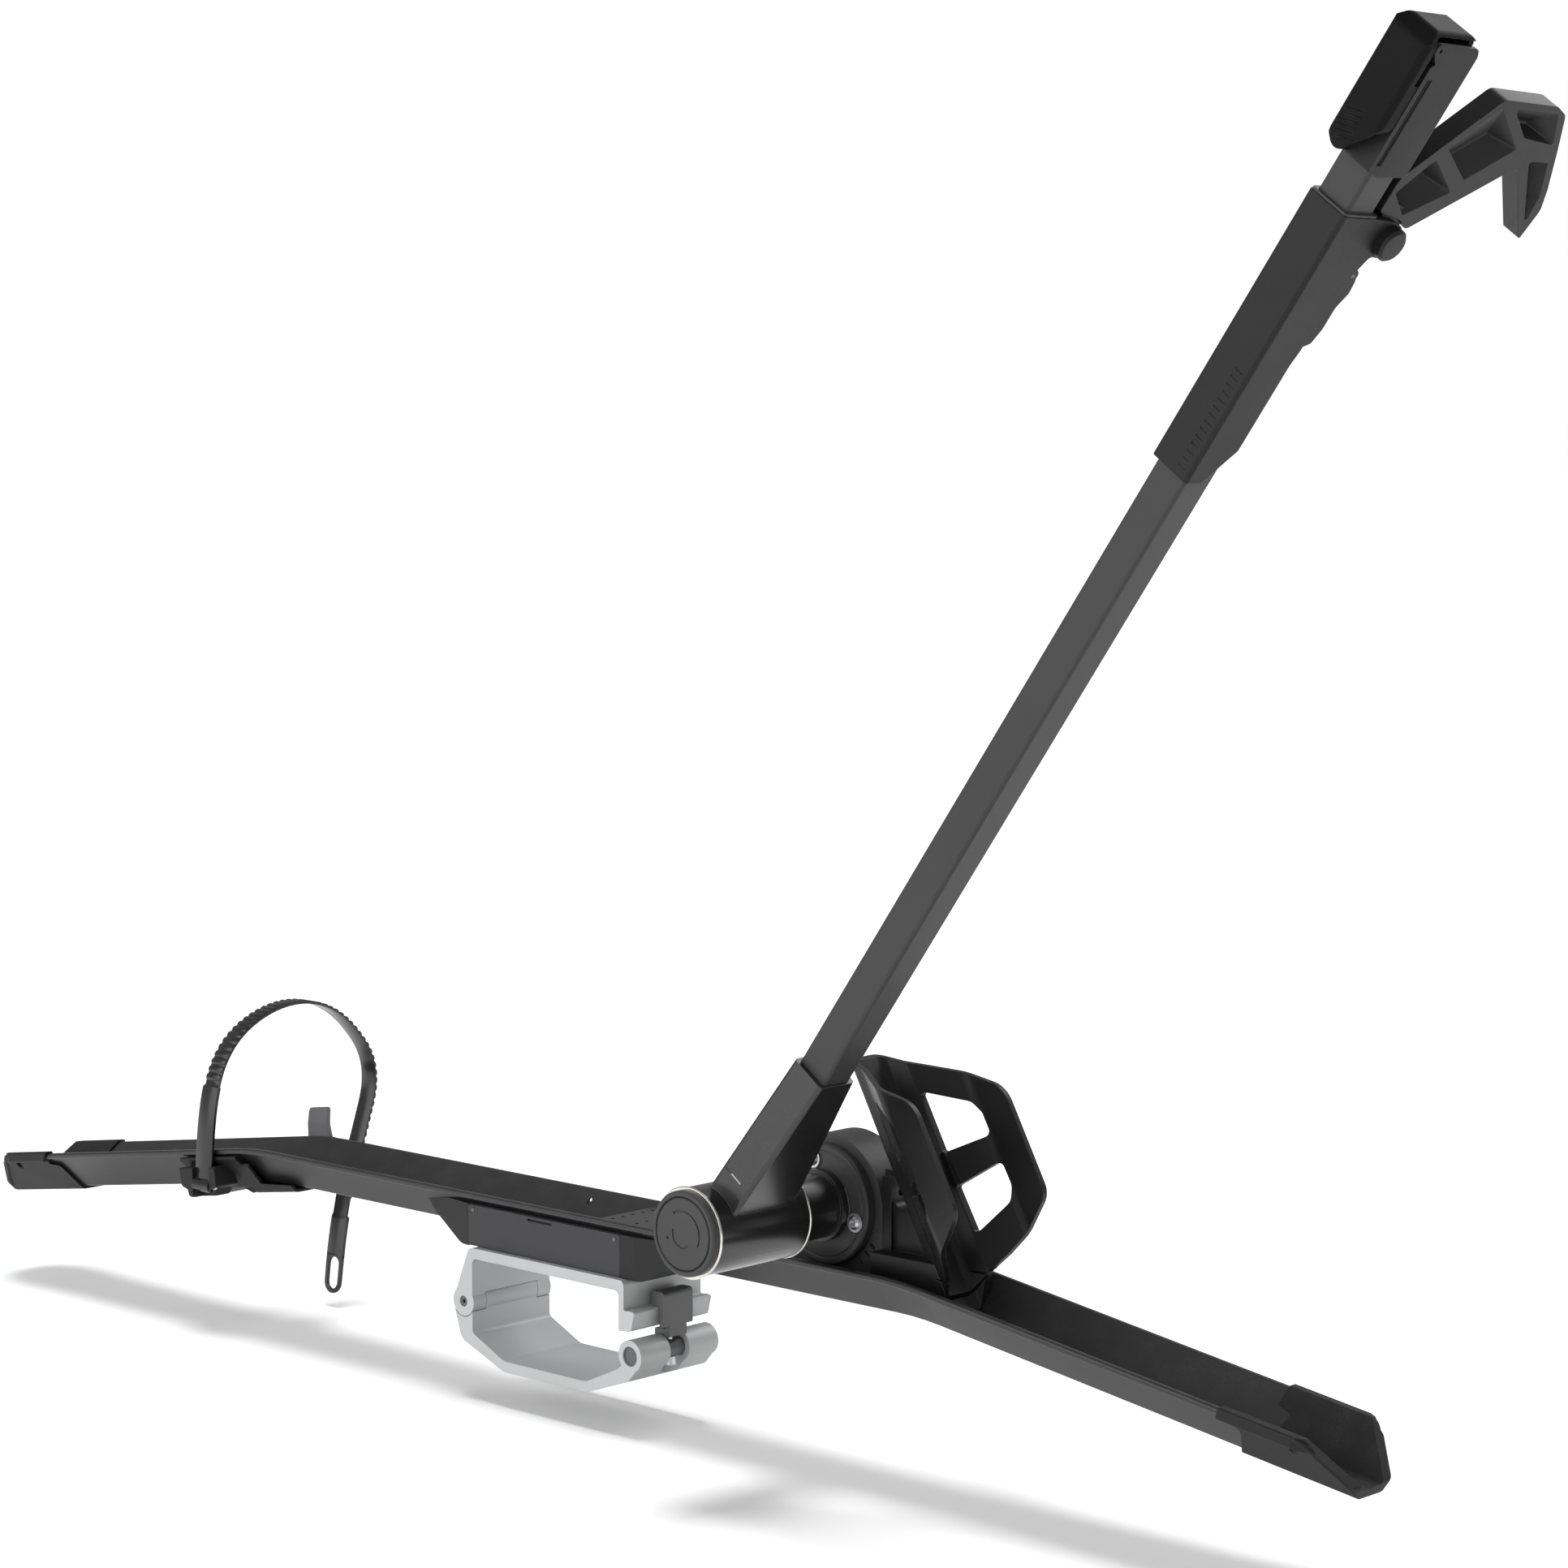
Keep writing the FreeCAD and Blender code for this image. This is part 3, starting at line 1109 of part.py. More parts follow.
def strap_carriage():
    """Carriage that hugs the tray from below, with a skirt under the bend and a strap clip."""
    outer = [
        (rim_half_width + 3.6, -rim_roll - 1.2), (flank(-tray_depth - carriage_skin, carriage_skin + carriage_gap) + 1,
                                                 -tray_depth - carriage_skin - carriage_gap),
    ]
    shell = prism_x(mirrored(outer), [1.5, 6, 6, 1.5], carriage_outer, -20)
    skirt_out = [(flank(-12, 7.2), -12), (flank(-tray_depth - 7.4, 7.4), -tray_depth - 7.4)]
    skirt = prism_x(mirrored(skirt_out), [2, 7, 7, 2], -30, carriage_inner)
    skirt_in = vee(5.0, 4, -19.5, carriage_inner + 1)
    wedge_end = carriage_inner - 6
    slope = [
        (-30, -6), (-11, -6), (-15, -tray_depth + 0.5), (wedge_end, -tray_depth - 1.5), (wedge_end, -60), (-30, -60),
    ]
    skirt = skirt.cut(skirt_in).common(prism_y(slope, 0, -70, 70))
    feet = []
    for x in (-74.0, -37.0):
        points = [(x - 14, -tray_depth - 2), (x, -tray_depth - 7.8), (x + 16, -tray_depth - 2)]
        feet.append(prism_y(points, [0, 4, 0], -12, 12))
    clip = [
        (-rim_half_width - 8.3, -13.0), (-rim_half_width - 8.3, -36.5), (-24, -36.5), (-24, -30), (-30, -13.0),
    ]
    clip_block = prism_x(clip, [2, 3, 2, 0, 0], carriage_outer, carriage_outer + 52)
    clip_side = [(-83, -12), (-81.5, -27), (-74.5, -30), (-73, -37), (-51, -37), (-49, -31), (-38.6, -29), (-38.6, -12)]
    clip_block = clip_block.common(prism_y(clip_side, [1, 2, 2, 2, 2, 2, 2, 1], -60, 0))
    post_top = buckle_pin_z - 11
    post_y = buckle_pin_y + 1.4
    far_post = [(28.5, post_top), (post_y, post_top), (post_y, post_top - 5), (22, -34), (15, -31.5)]
    far_block = prism_x(far_post, [0, 1, 3, 2, 0], -36, -6)
    body = join([shell, skirt, clip_block, far_block] + feet)
    inner = vee(carriage_gap, 5, carriage_outer - 1, -19)
    roll_room = [(-rim_half_width - 1, 5), (-rim_half_width - 1, -rim_roll - 0.6), (rim_half_width + 1, -rim_roll - 0.6),
                 (rim_half_width + 1, 5)]
    cuts = [inner, prism_x(roll_room, 1, carriage_outer - 1, 40), vee(5.0, 4, -22, carriage_inner + 1)]
    body = placed(body.cut(cuts), left_frame())
    half = strap_width / 2 + 0.4
    body = body.cut(box(strap_x - half, strap_x + half, -60, strap_pin_y + 5.6, -10, 40))
    bore = rod_x(strap_pin_radius, strap_x - 30, strap_x + 30, strap_pin_y, strap_pin_z)
    return body.cut(bore)


def strap_pin():
    """Pin through the clip that the strap end turns on."""
    return rod_x(strap_pin_radius, strap_x - 16, strap_x + 14, strap_pin_y, strap_pin_z)


def strap_path():
    """Run of the strap over a wheel, from the clip over the top to the free tail."""
    points = [
        (-43.6, 8), (-42.2, 35), (-39.4, 64), (-35.2, 86), (-27.3, 107), (-13.5, 125), (8, 139), (34, 146.8),
        (58, 147), (90.5, 134.3), (110.6, 115.5), (122.4, 97.9), (126.5, 81), (125.3, 65.5), (120, 48.2),
        (113.2, 28.4), (104, 5), (98.6, -15.4), (92.6, -42), (85, -94),
    ]
    curve = Part.BSplineCurve()
    curve.interpolate([Vector(strap_x, y, z) for y, z in points])
    return curve


def ribbon(curve, first, last, inner, outer, half, steps):
    """Strip of a given depth range that follows part of the path."""
    lower = []
    upper = []
    for index in range(steps + 1):
        t = first + (last - first) * index / steps
        point = curve.value(t)
        tangent = curve.tangent(t)[0]
        normal = tangent.cross(ALONG_X)
        lower.append(point + normal * inner)
        upper.append(point + normal * outer)
    shift = Vector(-half, 0, 0)
    low_curve = Part.BSplineCurve()
    low_curve.interpolate([p + shift for p in lower])
    high_curve = Part.BSplineCurve()
    high_curve.interpolate([p + shift for p in upper])
    edges = [
        low_curve.toShape(), Part.makeLine(lower[-1] + shift, upper[-1] + shift),
        high_curve.toShape(), Part.makeLine(upper[0] + shift, lower[0] + shift),
    ]
    return Part.Face(Part.Wire(edges)).extrude(Vector(2 * half, 0, 0))


def wheel_strap():
    """Moulded ladder strap: a wide foot with an eye, a narrower toothed run and a slotted tail."""
    curve = strap_path()
    half = strap_width / 2
    ladder_half = ladder_width / 2
    skin = strap_thickness / 2
    first = curve.FirstParameter
    last = curve.LastParameter
    body = ribbon(curve, first, last, -skin, skin, half, 30)
    length = curve.length()
    narrow_start = curve.parameterAtDistance(82, first)
    narrow_end = curve.parameterAtDistance(length - 62, first)
    sides = []
    for side in (-1, 1):
        strip = ribbon(curve, narrow_start, narrow_end, -skin - 1, skin + 1, (half - ladder_half) / 2 + 0.5, 24)
        strip.translate(Vector(side * (ladder_half + half + 1) / 2, 0, 0))
        sides.append(strip)
    recess = ribbon(curve, narrow_start, narrow_end, -skin - 1, -skin + tooth_height, half + 1, 24)
    body = body.cut(sides + [recess])
    eye = rod_x(5.2, strap_x - half, strap_x + half, strap_pin_y, strap_pin_z)
    teeth = []
    count = int((length - 160) / tooth_pitch)
    for index in range(count):
        t = curve.parameterAtDistance(90 + index * tooth_pitch, first)
        point = curve.value(t)
        tangent = curve.tangent(t)[0]
        outward = ALONG_X.cross(tangent)
        base = outward * (skin - tooth_height - 0.3)
        tip = outward * (skin + 0.1)
        start = Vector(-ladder_half + 0.6, 0, 0)
        corners = [
            point + base + tangent * 2.2 + start, point + tip + tangent * 1.6 + start,
            point + tip - tangent * 1.0 + start, point + base - tangent * 2.6 + start,
        ]
        face = Part.Face(Part.makePolygon(corners + corners[:1]))
        teeth.append(face.extrude(Vector(2 * ladder_half - 1.2, 0, 0)))
    body = body.fuse([eye] + teeth)
    bore = rod_x(strap_pin_radius + pivot_gap, strap_x - half - 1, strap_x + half + 1, strap_pin_y, strap_pin_z)
    return body.cut([bore, strap_end_round(curve)])


def strap_end_round(curve):
    """Tool that rounds the tail and cuts its long slot."""
    end = curve.value(curve.LastParameter)
    tangent = curve.tangent(curve.LastParameter)[0]
    normal = tangent.cross(ALONG_X)
    half = strap_width / 2
    frame = FreeCAD.Matrix(
        1, normal.x, tangent.x, end.x,
        0, normal.y, tangent.y, end.y,
        0, normal.z, tangent.z, end.z,
        0, 0, 0, 1,
    )
    slot_half = half - 3.9
    slot = prism_y([(-slot_half, -29.4), (slot_half, -29.4), (slot_half, -3.6), (-slot_half, -3.6)],
                   slot_half - 0.1, -8, 8)
    corner = prism_y([(-half - 1, -half), (half + 1, -half), (half + 1, 2), (-half - 1, 2)], 0, -8, 8)
    side = half + 0.1
    round_end = prism_y([(-side, -side - 9), (side, -side - 9), (side, 0), (-side, 0)],
                        [0, 0, half - 0.4, half - 0.4], -9, 9)
    tool = slot.fuse(corner.cut(round_end))
    tool.transformShape(frame)
    return tool


def buckle_frame():
    """Two cheeks on the far side of the carriage that hold the lever pin."""
    cheeks = []
    y0 = buckle_pin_y - 6.6
    z0 = buckle_pin_z
    for x in (-35.6, -9.0):
        points = [(y0, z0 - 11), (y0 + 8, z0 - 11), (y0 + 12, z0 - 3), (y0 + 10, z0 + 4.4), (y0 + 3, z0 + 4.4), (y0, z0 - 1)]
        cheeks.append(prism_x(points, [0, 0, 3, 4, 3, 1], x, x + 3))
    floor = prism_x([(y0, z0 - 11), (y0 + 8, z0 - 11), (y0 + 8, z0 - 8.6), (y0, z0 - 8.6)], 0, -35.6, -6)
    body = join(cheeks + [floor])
    body = body.cut(rod_x(buckle_pin_radius, -40, 0, buckle_pin_y, buckle_pin_z))
    return placed(body, left_frame())


def buckle_pin():
    """Lever pin in the cheeks."""
    pin = rod_x(buckle_pin_radius - 0.02, -35.2, -6.4, buckle_pin_y, buckle_pin_z)
    return placed(pin, left_frame())


def buckle_lever():
    """Ratchet lever: a broad thumb tab on a round hub with two pawl teeth."""
    y0 = buckle_pin_y
    z0 = buckle_pin_z
    tab = [
        (y0 - 3.4, z0 + 2), (y0 - 2.4, z0 + 16), (y0 + 1.0, z0 + 28.3), (y0 + 4.0, z0 + 27.7), (y0 + 1.6, z0 + 15),
        (y0 + 3.4, z0), (y0 + 6.4, z0 - 4.4), (y0 + 1.2, z0 - 4.2), (y0 - 4.0, z0 - 2),
    ]
    blade = prism_x(tab, [1, 20, 1.3, 1.3, 20, 2, 0.6, 1, 2], -32.2, -9.4)
    blade = blade.common(prism_y([(-32.4, z0 - 10), (-9.2, z0 - 10), (-9.2, z0 + 28.6), (-32.4, z0 + 28.6)],
                                 [0, 0, 4, 4], 30, 80))
    body = join([blade, rod_x(4.2, -32.2, -9.4, y0, z0)])
    body = body.cut(rod_x(buckle_pin_radius + pivot_gap, -40, 0, y0, z0))
    return placed(body, left_frame())


NODES = {
    "tray_channel": tray_channel,
    "front_end_cap": front_end_cap,
    "rear_end_cap": rear_end_cap,
    "deck_plate": deck_plate,
    "mount_housing": mount_housing,
    "side_panel_near": lambda: side_panel(-1),
    "side_panel_far": lambda: side_panel(1),
    "panel_screws": panel_screws,
    "tray_bolts": tray_bolts,
    "upper_jaw": upper_jaw,
    "jaw_hinge_pin": jaw_hinge_pin,
    "lower_jaw": lower_jaw,
    "clamp_dowel": clamp_dowel,
    "clamp_claw": clamp_claw,
    "clamp_bolt": clamp_bolt,
    "pivot_block": pivot_block,
    "detent_disc": detent_disc,
    "disc_bolts": disc_bolts,
    "pivot_shaft": pivot_shaft,
    "hub_barrel": hub_barrel,
    "hub_cap": hub_cap,
    "thrust_rings": thrust_rings,
    "arm_tube": arm_tube,
    "arm_head": arm_head,
    "lock_core": lock_core,
    "head_cover": head_cover,
    "cover_pin": cover_pin,
    "slider_sleeve": slider_sleeve,
    "sleeve_liners": sleeve_liners,
    "release_lever": release_lever,
    "lever_pin": lever_pin,
    "hook_pin": hook_pin,
    "tyre_hook": tyre_hook,
    "wheel_cradle": wheel_cradle,
    "cradle_base": cradle_base,
    "cradle_bolts": cradle_bolts,
    "strap_carriage": strap_carriage,
    "strap_pin": strap_pin,
    "wheel_strap": wheel_strap,
    "buckle_frame": buckle_frame,
    "buckle_pin": buckle_pin,
    "buckle_lever": buckle_lever,
}


def main():
    """Builds each named piece and writes it to its own file."""
    os.makedirs("parts", exist_ok=True)
    for name, make in NODES.items():
        shape = make()
        shape.exportStep(f"parts/{name}.step")


if __name__ == "__main__":
    main()
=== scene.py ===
"""Looks of a clamp-on wheel tray for one bicycle: finishes, fine pieces, light and camera."""

from __future__ import annotations

import logging
import math
from dataclasses import dataclass
from enum import Enum

import bpy
import numpy as np
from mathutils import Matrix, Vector


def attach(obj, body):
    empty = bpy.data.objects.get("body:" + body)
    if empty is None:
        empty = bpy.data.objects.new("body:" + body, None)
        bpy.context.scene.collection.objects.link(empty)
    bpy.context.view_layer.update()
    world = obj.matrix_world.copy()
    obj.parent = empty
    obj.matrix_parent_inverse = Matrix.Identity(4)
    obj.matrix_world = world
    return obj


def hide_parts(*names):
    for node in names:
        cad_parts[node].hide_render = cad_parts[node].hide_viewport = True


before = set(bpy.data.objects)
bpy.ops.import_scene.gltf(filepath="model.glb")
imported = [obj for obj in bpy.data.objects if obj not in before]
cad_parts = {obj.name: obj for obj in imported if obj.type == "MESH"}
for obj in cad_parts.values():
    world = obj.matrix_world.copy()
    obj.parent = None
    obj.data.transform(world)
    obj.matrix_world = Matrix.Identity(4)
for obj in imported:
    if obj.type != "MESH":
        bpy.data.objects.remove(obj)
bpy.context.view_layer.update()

LOG = logging.getLogger("wheel_tray")
MM = 0.001
Colour = tuple[float, float, float]
Place = tuple[float, float, float]
DUST_COLOUR = (0.42, 0.4, 0.37, 1.0)
DUST_ROUGHNESS = 0.4
RELIEF_HEIGHT = 0.0004
COAT_ROUGHNESS = 0.18


class Pattern(Enum):
    """How a surface was made. The relief of a turned one lies in rings round its axis."""

    MOULDED = "moulded"
    POWDER = "powder"
    CAST = "cast"
    TURNED = "turned"


class Graph:
    """Adds nodes and links to one node tree."""

    def __init__(self, tree: bpy.types.NodeTree) -> None:
        """Starts on an empty tree."""
        self.tree = tree
        tree.nodes.clear()

    def add(self, kind: str, **settings: object) -> bpy.types.Node:
        """Adds one node.

        Args:
            kind: the node's type name without the ShaderNode prefix, or a full type name.
            settings: attributes set on the node, such as its operation.

        Returns:
            The new node.
        """
        full = kind if kind.startswith("Node") else f"ShaderNode{kind}"
        node = self.tree.nodes.new(full)
        for name, value in settings.items():
            setattr(node, name, value)
        return node

    def feed(self, node: bpy.types.Node, socket: str | int, source: object) -> None:
        """Links an output socket, or sets a plain value, on one input of a node."""
        target = node.inputs[socket]
        if isinstance(source, bpy.types.NodeSocket):
            self.tree.links.new(source, target)
        else:
            target.default_value = source

    def math(self, operation: str, a: object, b: object = 0.0, clamp: bool = False) -> bpy.types.NodeSocket:
        """Adds a maths node and returns its value."""
        node = self.add("Math", operation=operation, use_clamp=clamp)
        self.feed(node, 0, a)
        self.feed(node, 1, b)
        return node.outputs[0]

    def mix(self, share: object, a: object, b: object) -> bpy.types.NodeSocket:
        """Mixes two colours by a share and returns the colour."""
        node = self.add("Mix", data_type="RGBA")
        self.feed(node, 0, share)
        self.feed(node, 6, a)
        self.feed(node, 7, b)
        return node.outputs[2]

    def ramp(self, value: object, low: float, high: float) -> bpy.types.NodeSocket:
        """Stretches a value so that low becomes 0 and high becomes 1."""
        node = self.add("MapRange", clamp=True)
        self.feed(node, 0, value)
        self.feed(node, 1, low)
        self.feed(node, 2, high)
        return node.outputs[0]

    def noise(self, vector: object, scale: float | object, detail: float = 3.0) -> bpy.types.NodeSocket:
        """Adds a noise texture and returns its factor."""
        node = self.add("TexNoise")
        self.feed(node, "Vector", vector)
        self.feed(node, "Scale", scale)
        self.feed(node, "Detail", detail)
        return node.outputs["Fac"]


def new_group(
    name: str, inputs: dict[str, tuple[str, object]], outputs: dict[str, str],
) -> tuple[Graph, bpy.types.Node, bpy.types.Node]:
    """Makes a shader node group with named sockets.

    Args:
        name: the group's name.
        inputs: socket name to its type and default value.
        outputs: socket name to its type.

    Returns:
        The group's graph, its input node and its output node.
    """
    tree = bpy.data.node_groups.new(name, "ShaderNodeTree")
    for label, (kind, value) in inputs.items():
        socket = tree.interface.new_socket(label, in_out="INPUT", socket_type=kind)
        if value is not None:
            socket.default_value = value
    for label, kind in outputs.items():
        tree.interface.new_socket(label, in_out="OUTPUT", socket_type=kind)
    graph = Graph(tree)
    return graph, graph.add("NodeGroupInput"), graph.add("NodeGroupOutput")


class SharedGroups:
    """Shader node groups that more than one finish uses, each built once."""

    def __init__(self) -> None:
        """Builds all groups."""
        self.edges = self._edges()
        self.relief = self._relief()
        self.mottle = self._mottle()

    def _edges(self) -> bpy.types.NodeTree:
        """Rounded normal and a mask of the worn edges: how far the rounded normal leans from the flat one."""
        inputs = {"Radius": ("NodeSocketFloat", 0.0006), "Amount": ("NodeSocketFloat", 0.5)}
        outputs = {"Normal": "NodeSocketVector", "Mask": "NodeSocketFloat"}
        graph, given, made = new_group("worn_edges", inputs, outputs)
        bevel = graph.add("Bevel", samples=4)
        graph.feed(bevel, "Radius", given.outputs["Radius"])
        flat = graph.add("NewGeometry")
        dot = graph.add("VectorMath", operation="DOT_PRODUCT")
        graph.feed(dot, 0, bevel.outputs[0])
        graph.feed(dot, 1, flat.outputs["True Normal"])
        lean = graph.math("SUBTRACT", 1.0, dot.outputs["Value"], clamp=True)
        place = graph.add("TexCoord")
        patch = graph.noise(place.outputs["Object"], 90.0, 4.0)
        patch = graph.ramp(patch, 0.35, 0.7)
        mask = graph.math("MULTIPLY", graph.ramp(lean, 0.02, 0.2), patch)
        mask = graph.math("MULTIPLY", mask, given.outputs["Amount"], clamp=True)
        graph.feed(made, "Normal", bevel.outputs[0])
        graph.feed(made, "Mask", mask)
        return graph.tree

    def _relief(self) -> bpy.types.NodeTree:
        """Height of a fine grain: two noises and small cells, summed by their shares."""
        inputs = {
            "Vector": ("NodeSocketVector", None),
            "Scale": ("NodeSocketFloat", 900.0),
            "Cells": ("NodeSocketFloat", 0.3),
        }
        outputs = {"Height": "NodeSocketFloat", "Speck": "NodeSocketFloat"}
        graph, given, made = new_group("fine_relief", inputs, outputs)
        fine = graph.noise(given.outputs["Vector"], given.outputs["Scale"], 2.0)
        broad = graph.noise(given.outputs["Vector"], graph.math("MULTIPLY", given.outputs["Scale"], 0.21), 2.0)
        cells = graph.add("TexVoronoi", feature="F1")
        graph.feed(cells, "Vector", given.outputs["Vector"])
        graph.feed(cells, "Scale", graph.math("MULTIPLY", given.outputs["Scale"], 0.8))
        pits = graph.math("MULTIPLY", cells.outputs["Distance"], given.outputs["Cells"])
        height = graph.math("ADD", graph.math("MULTIPLY", fine, 0.6), graph.math("MULTIPLY", broad, 0.4))
        graph.feed(made, "Height", graph.math("ADD", height, pits))
        graph.feed(made, "Speck", graph.ramp(fine, 0.3, 0.7))
        return graph.tree

    def _mottle(self) -> bpy.types.NodeTree:
        """Slow changes of tone over a surface and the dust that lies on its upper faces."""
        inputs = {"Scale": ("NodeSocketFloat", 14.0), "Dust": ("NodeSocketFloat", 0.2)}
        outputs = {"Tone": "NodeSocketFloat", "Dust": "NodeSocketFloat"}
        graph, given, made = new_group("tone_and_dust", inputs, outputs)
        place = graph.add("TexCoord")
        tone = graph.noise(place.outputs["Object"], given.outputs["Scale"], 5.0)
        graph.feed(made, "Tone", graph.ramp(tone, 0.3, 0.72))
        flat = graph.add("NewGeometry")
        parts = graph.add("SeparateXYZ")
        graph.feed(parts, 0, flat.outputs["Normal"])
        up = graph.ramp(parts.outputs["Z"], 0.35, 1.0)
        cloud = graph.noise(place.outputs["Object"], 55.0, 6.0)
        speck = graph.noise(place.outputs["Object"], 1400.0, 1.0)
        lying = graph.math("MULTIPLY", graph.ramp(cloud, 0.4, 0.75), graph.ramp(speck, 0.35, 0.65))
        dust = graph.math("MULTIPLY", graph.math("MULTIPLY", up, lying), given.outputs["Dust"], clamp=True)
        graph.feed(made, "Dust", dust)
        return graph.tree


@dataclass(frozen=True)
class Finish:
    """One procedural finish: base tone, gloss and the relief its making leaves."""

    name: str
    colour: Colour
    pattern: Pattern
    roughness: float = 0.5
    spread: float = 0.08
    metallic: float = 0.0
    tone: float = 0.12
    grain: float = 900.0
    depth: float = 0.05
    cells: float = 0.3
    edge_colour: Colour = (0.3, 0.3, 0.3)
    edge_amount: float = 0.35
    edge_radius: float = 0.0006
    dust: float = 0.12
    coat: float = 0.0
    specular: float = 0.28
    centre: tuple[float, float, float] = (0.0, 0.0, 0.0)

    def build(self, groups: SharedGroups) -> bpy.types.Material:
        """Makes the node material.

        Args:
            groups: the shared node groups.

        Returns:
            The material, ready to assign.
        """
        material = bpy.data.materials.new(self.name)
        material.use_nodes = True
        graph = Graph(material.node_tree)
        place = graph.add("TexCoord")
        vector = self._vector(graph, place.outputs["Object"])
        relief = self._group(graph, groups.relief)
        graph.feed(relief, "Vector", vector)
        graph.feed(relief, "Scale", self.grain)
        graph.feed(relief, "Cells", self.cells)
        mottle = self._group(graph, groups.mottle)
        graph.feed(mottle, "Dust", self.dust)
        edges = self._group(graph, groups.edges)
        graph.feed(edges, "Radius", self.edge_radius)
        graph.feed(edges, "Amount", self.edge_amount)
        dark = tuple(c * (1 - self.tone) for c in self.colour) + (1.0,)
        light = tuple(min(1.0, c * (1 + self.tone)) for c in self.colour) + (1.0,)
        bright = tuple(min(1.0, c * 1.6 + 0.01) for c in self.colour) + (1.0,)
        colour = graph.mix(mottle.outputs["Tone"], dark, light)
        fleck = graph.math("MULTIPLY", relief.outputs["Speck"], self.tone * 0.5)
        colour = graph.mix(fleck, colour, bright)
        colour = graph.mix(edges.outputs["Mask"], colour, self.edge_colour + (1.0,))
        colour = graph.mix(mottle.outputs["Dust"], colour, DUST_COLOUR)
        rough = graph.math("MULTIPLY", relief.outputs["Speck"], self.spread)
        rough = graph.math("ADD", rough, self.roughness - self.spread / 2)
        tone = graph.math("MULTIPLY", mottle.outputs["Tone"], self.spread)
        rough = graph.math("ADD", rough, tone)
        dusty = graph.math("MULTIPLY", mottle.outputs["Dust"], DUST_ROUGHNESS)
        rough = graph.math("ADD", rough, dusty, clamp=True)
        bump = graph.add("Bump")
        graph.feed(bump, "Strength", self.depth)
        graph.feed(bump, "Distance", RELIEF_HEIGHT)
        graph.feed(bump, "Height", relief.outputs["Height"])
        graph.feed(bump, "Normal", edges.outputs["Normal"])
        shader = graph.add("BsdfPrincipled")
        graph.feed(shader, "Base Color", colour)
        graph.feed(shader, "Roughness", rough)
        graph.feed(shader, "Metallic", self.metallic)
        graph.feed(shader, "Specular IOR Level", self.specular)
        graph.feed(shader, "Coat Weight", self.coat)
        graph.feed(shader, "Coat Roughness", COAT_ROUGHNESS)
        graph.feed(shader, "Normal", bump.outputs[0])
        output = graph.add("OutputMaterial")
        graph.feed(output, "Surface", shader.outputs[0])
        return material

    def _group(self, graph: Graph, tree: bpy.types.NodeTree) -> bpy.types.Node:
        """Places a shared group in this material."""
        node = graph.add("Group")
        node.node_tree = tree
        return node

    def _vector(self, graph: Graph, place: bpy.types.NodeSocket) -> bpy.types.NodeSocket:
        """Coordinates of the relief: plain, or radius and y where a piece is turned round an axis along y."""
        if self.pattern is not Pattern.TURNED:
            return place
        offset = graph.add("VectorMath", operation="SUBTRACT")
        graph.feed(offset, 0, place)
        graph.feed(offset, 1, self.centre)
        parts = graph.add("SeparateXYZ")
        graph.feed(parts, 0, offset.outputs[0])
        squares = [graph.math("MULTIPLY", parts.outputs[name], parts.outputs[name]) for name in "XZ"]
        radius = graph.math("SQRT", graph.math("ADD", squares[0], squares[1]))
        joined = graph.add("CombineXYZ")
        graph.feed(joined, "X", radius)
        graph.feed(joined, "Y", parts.outputs["Y"])
        return joined.outputs[0]


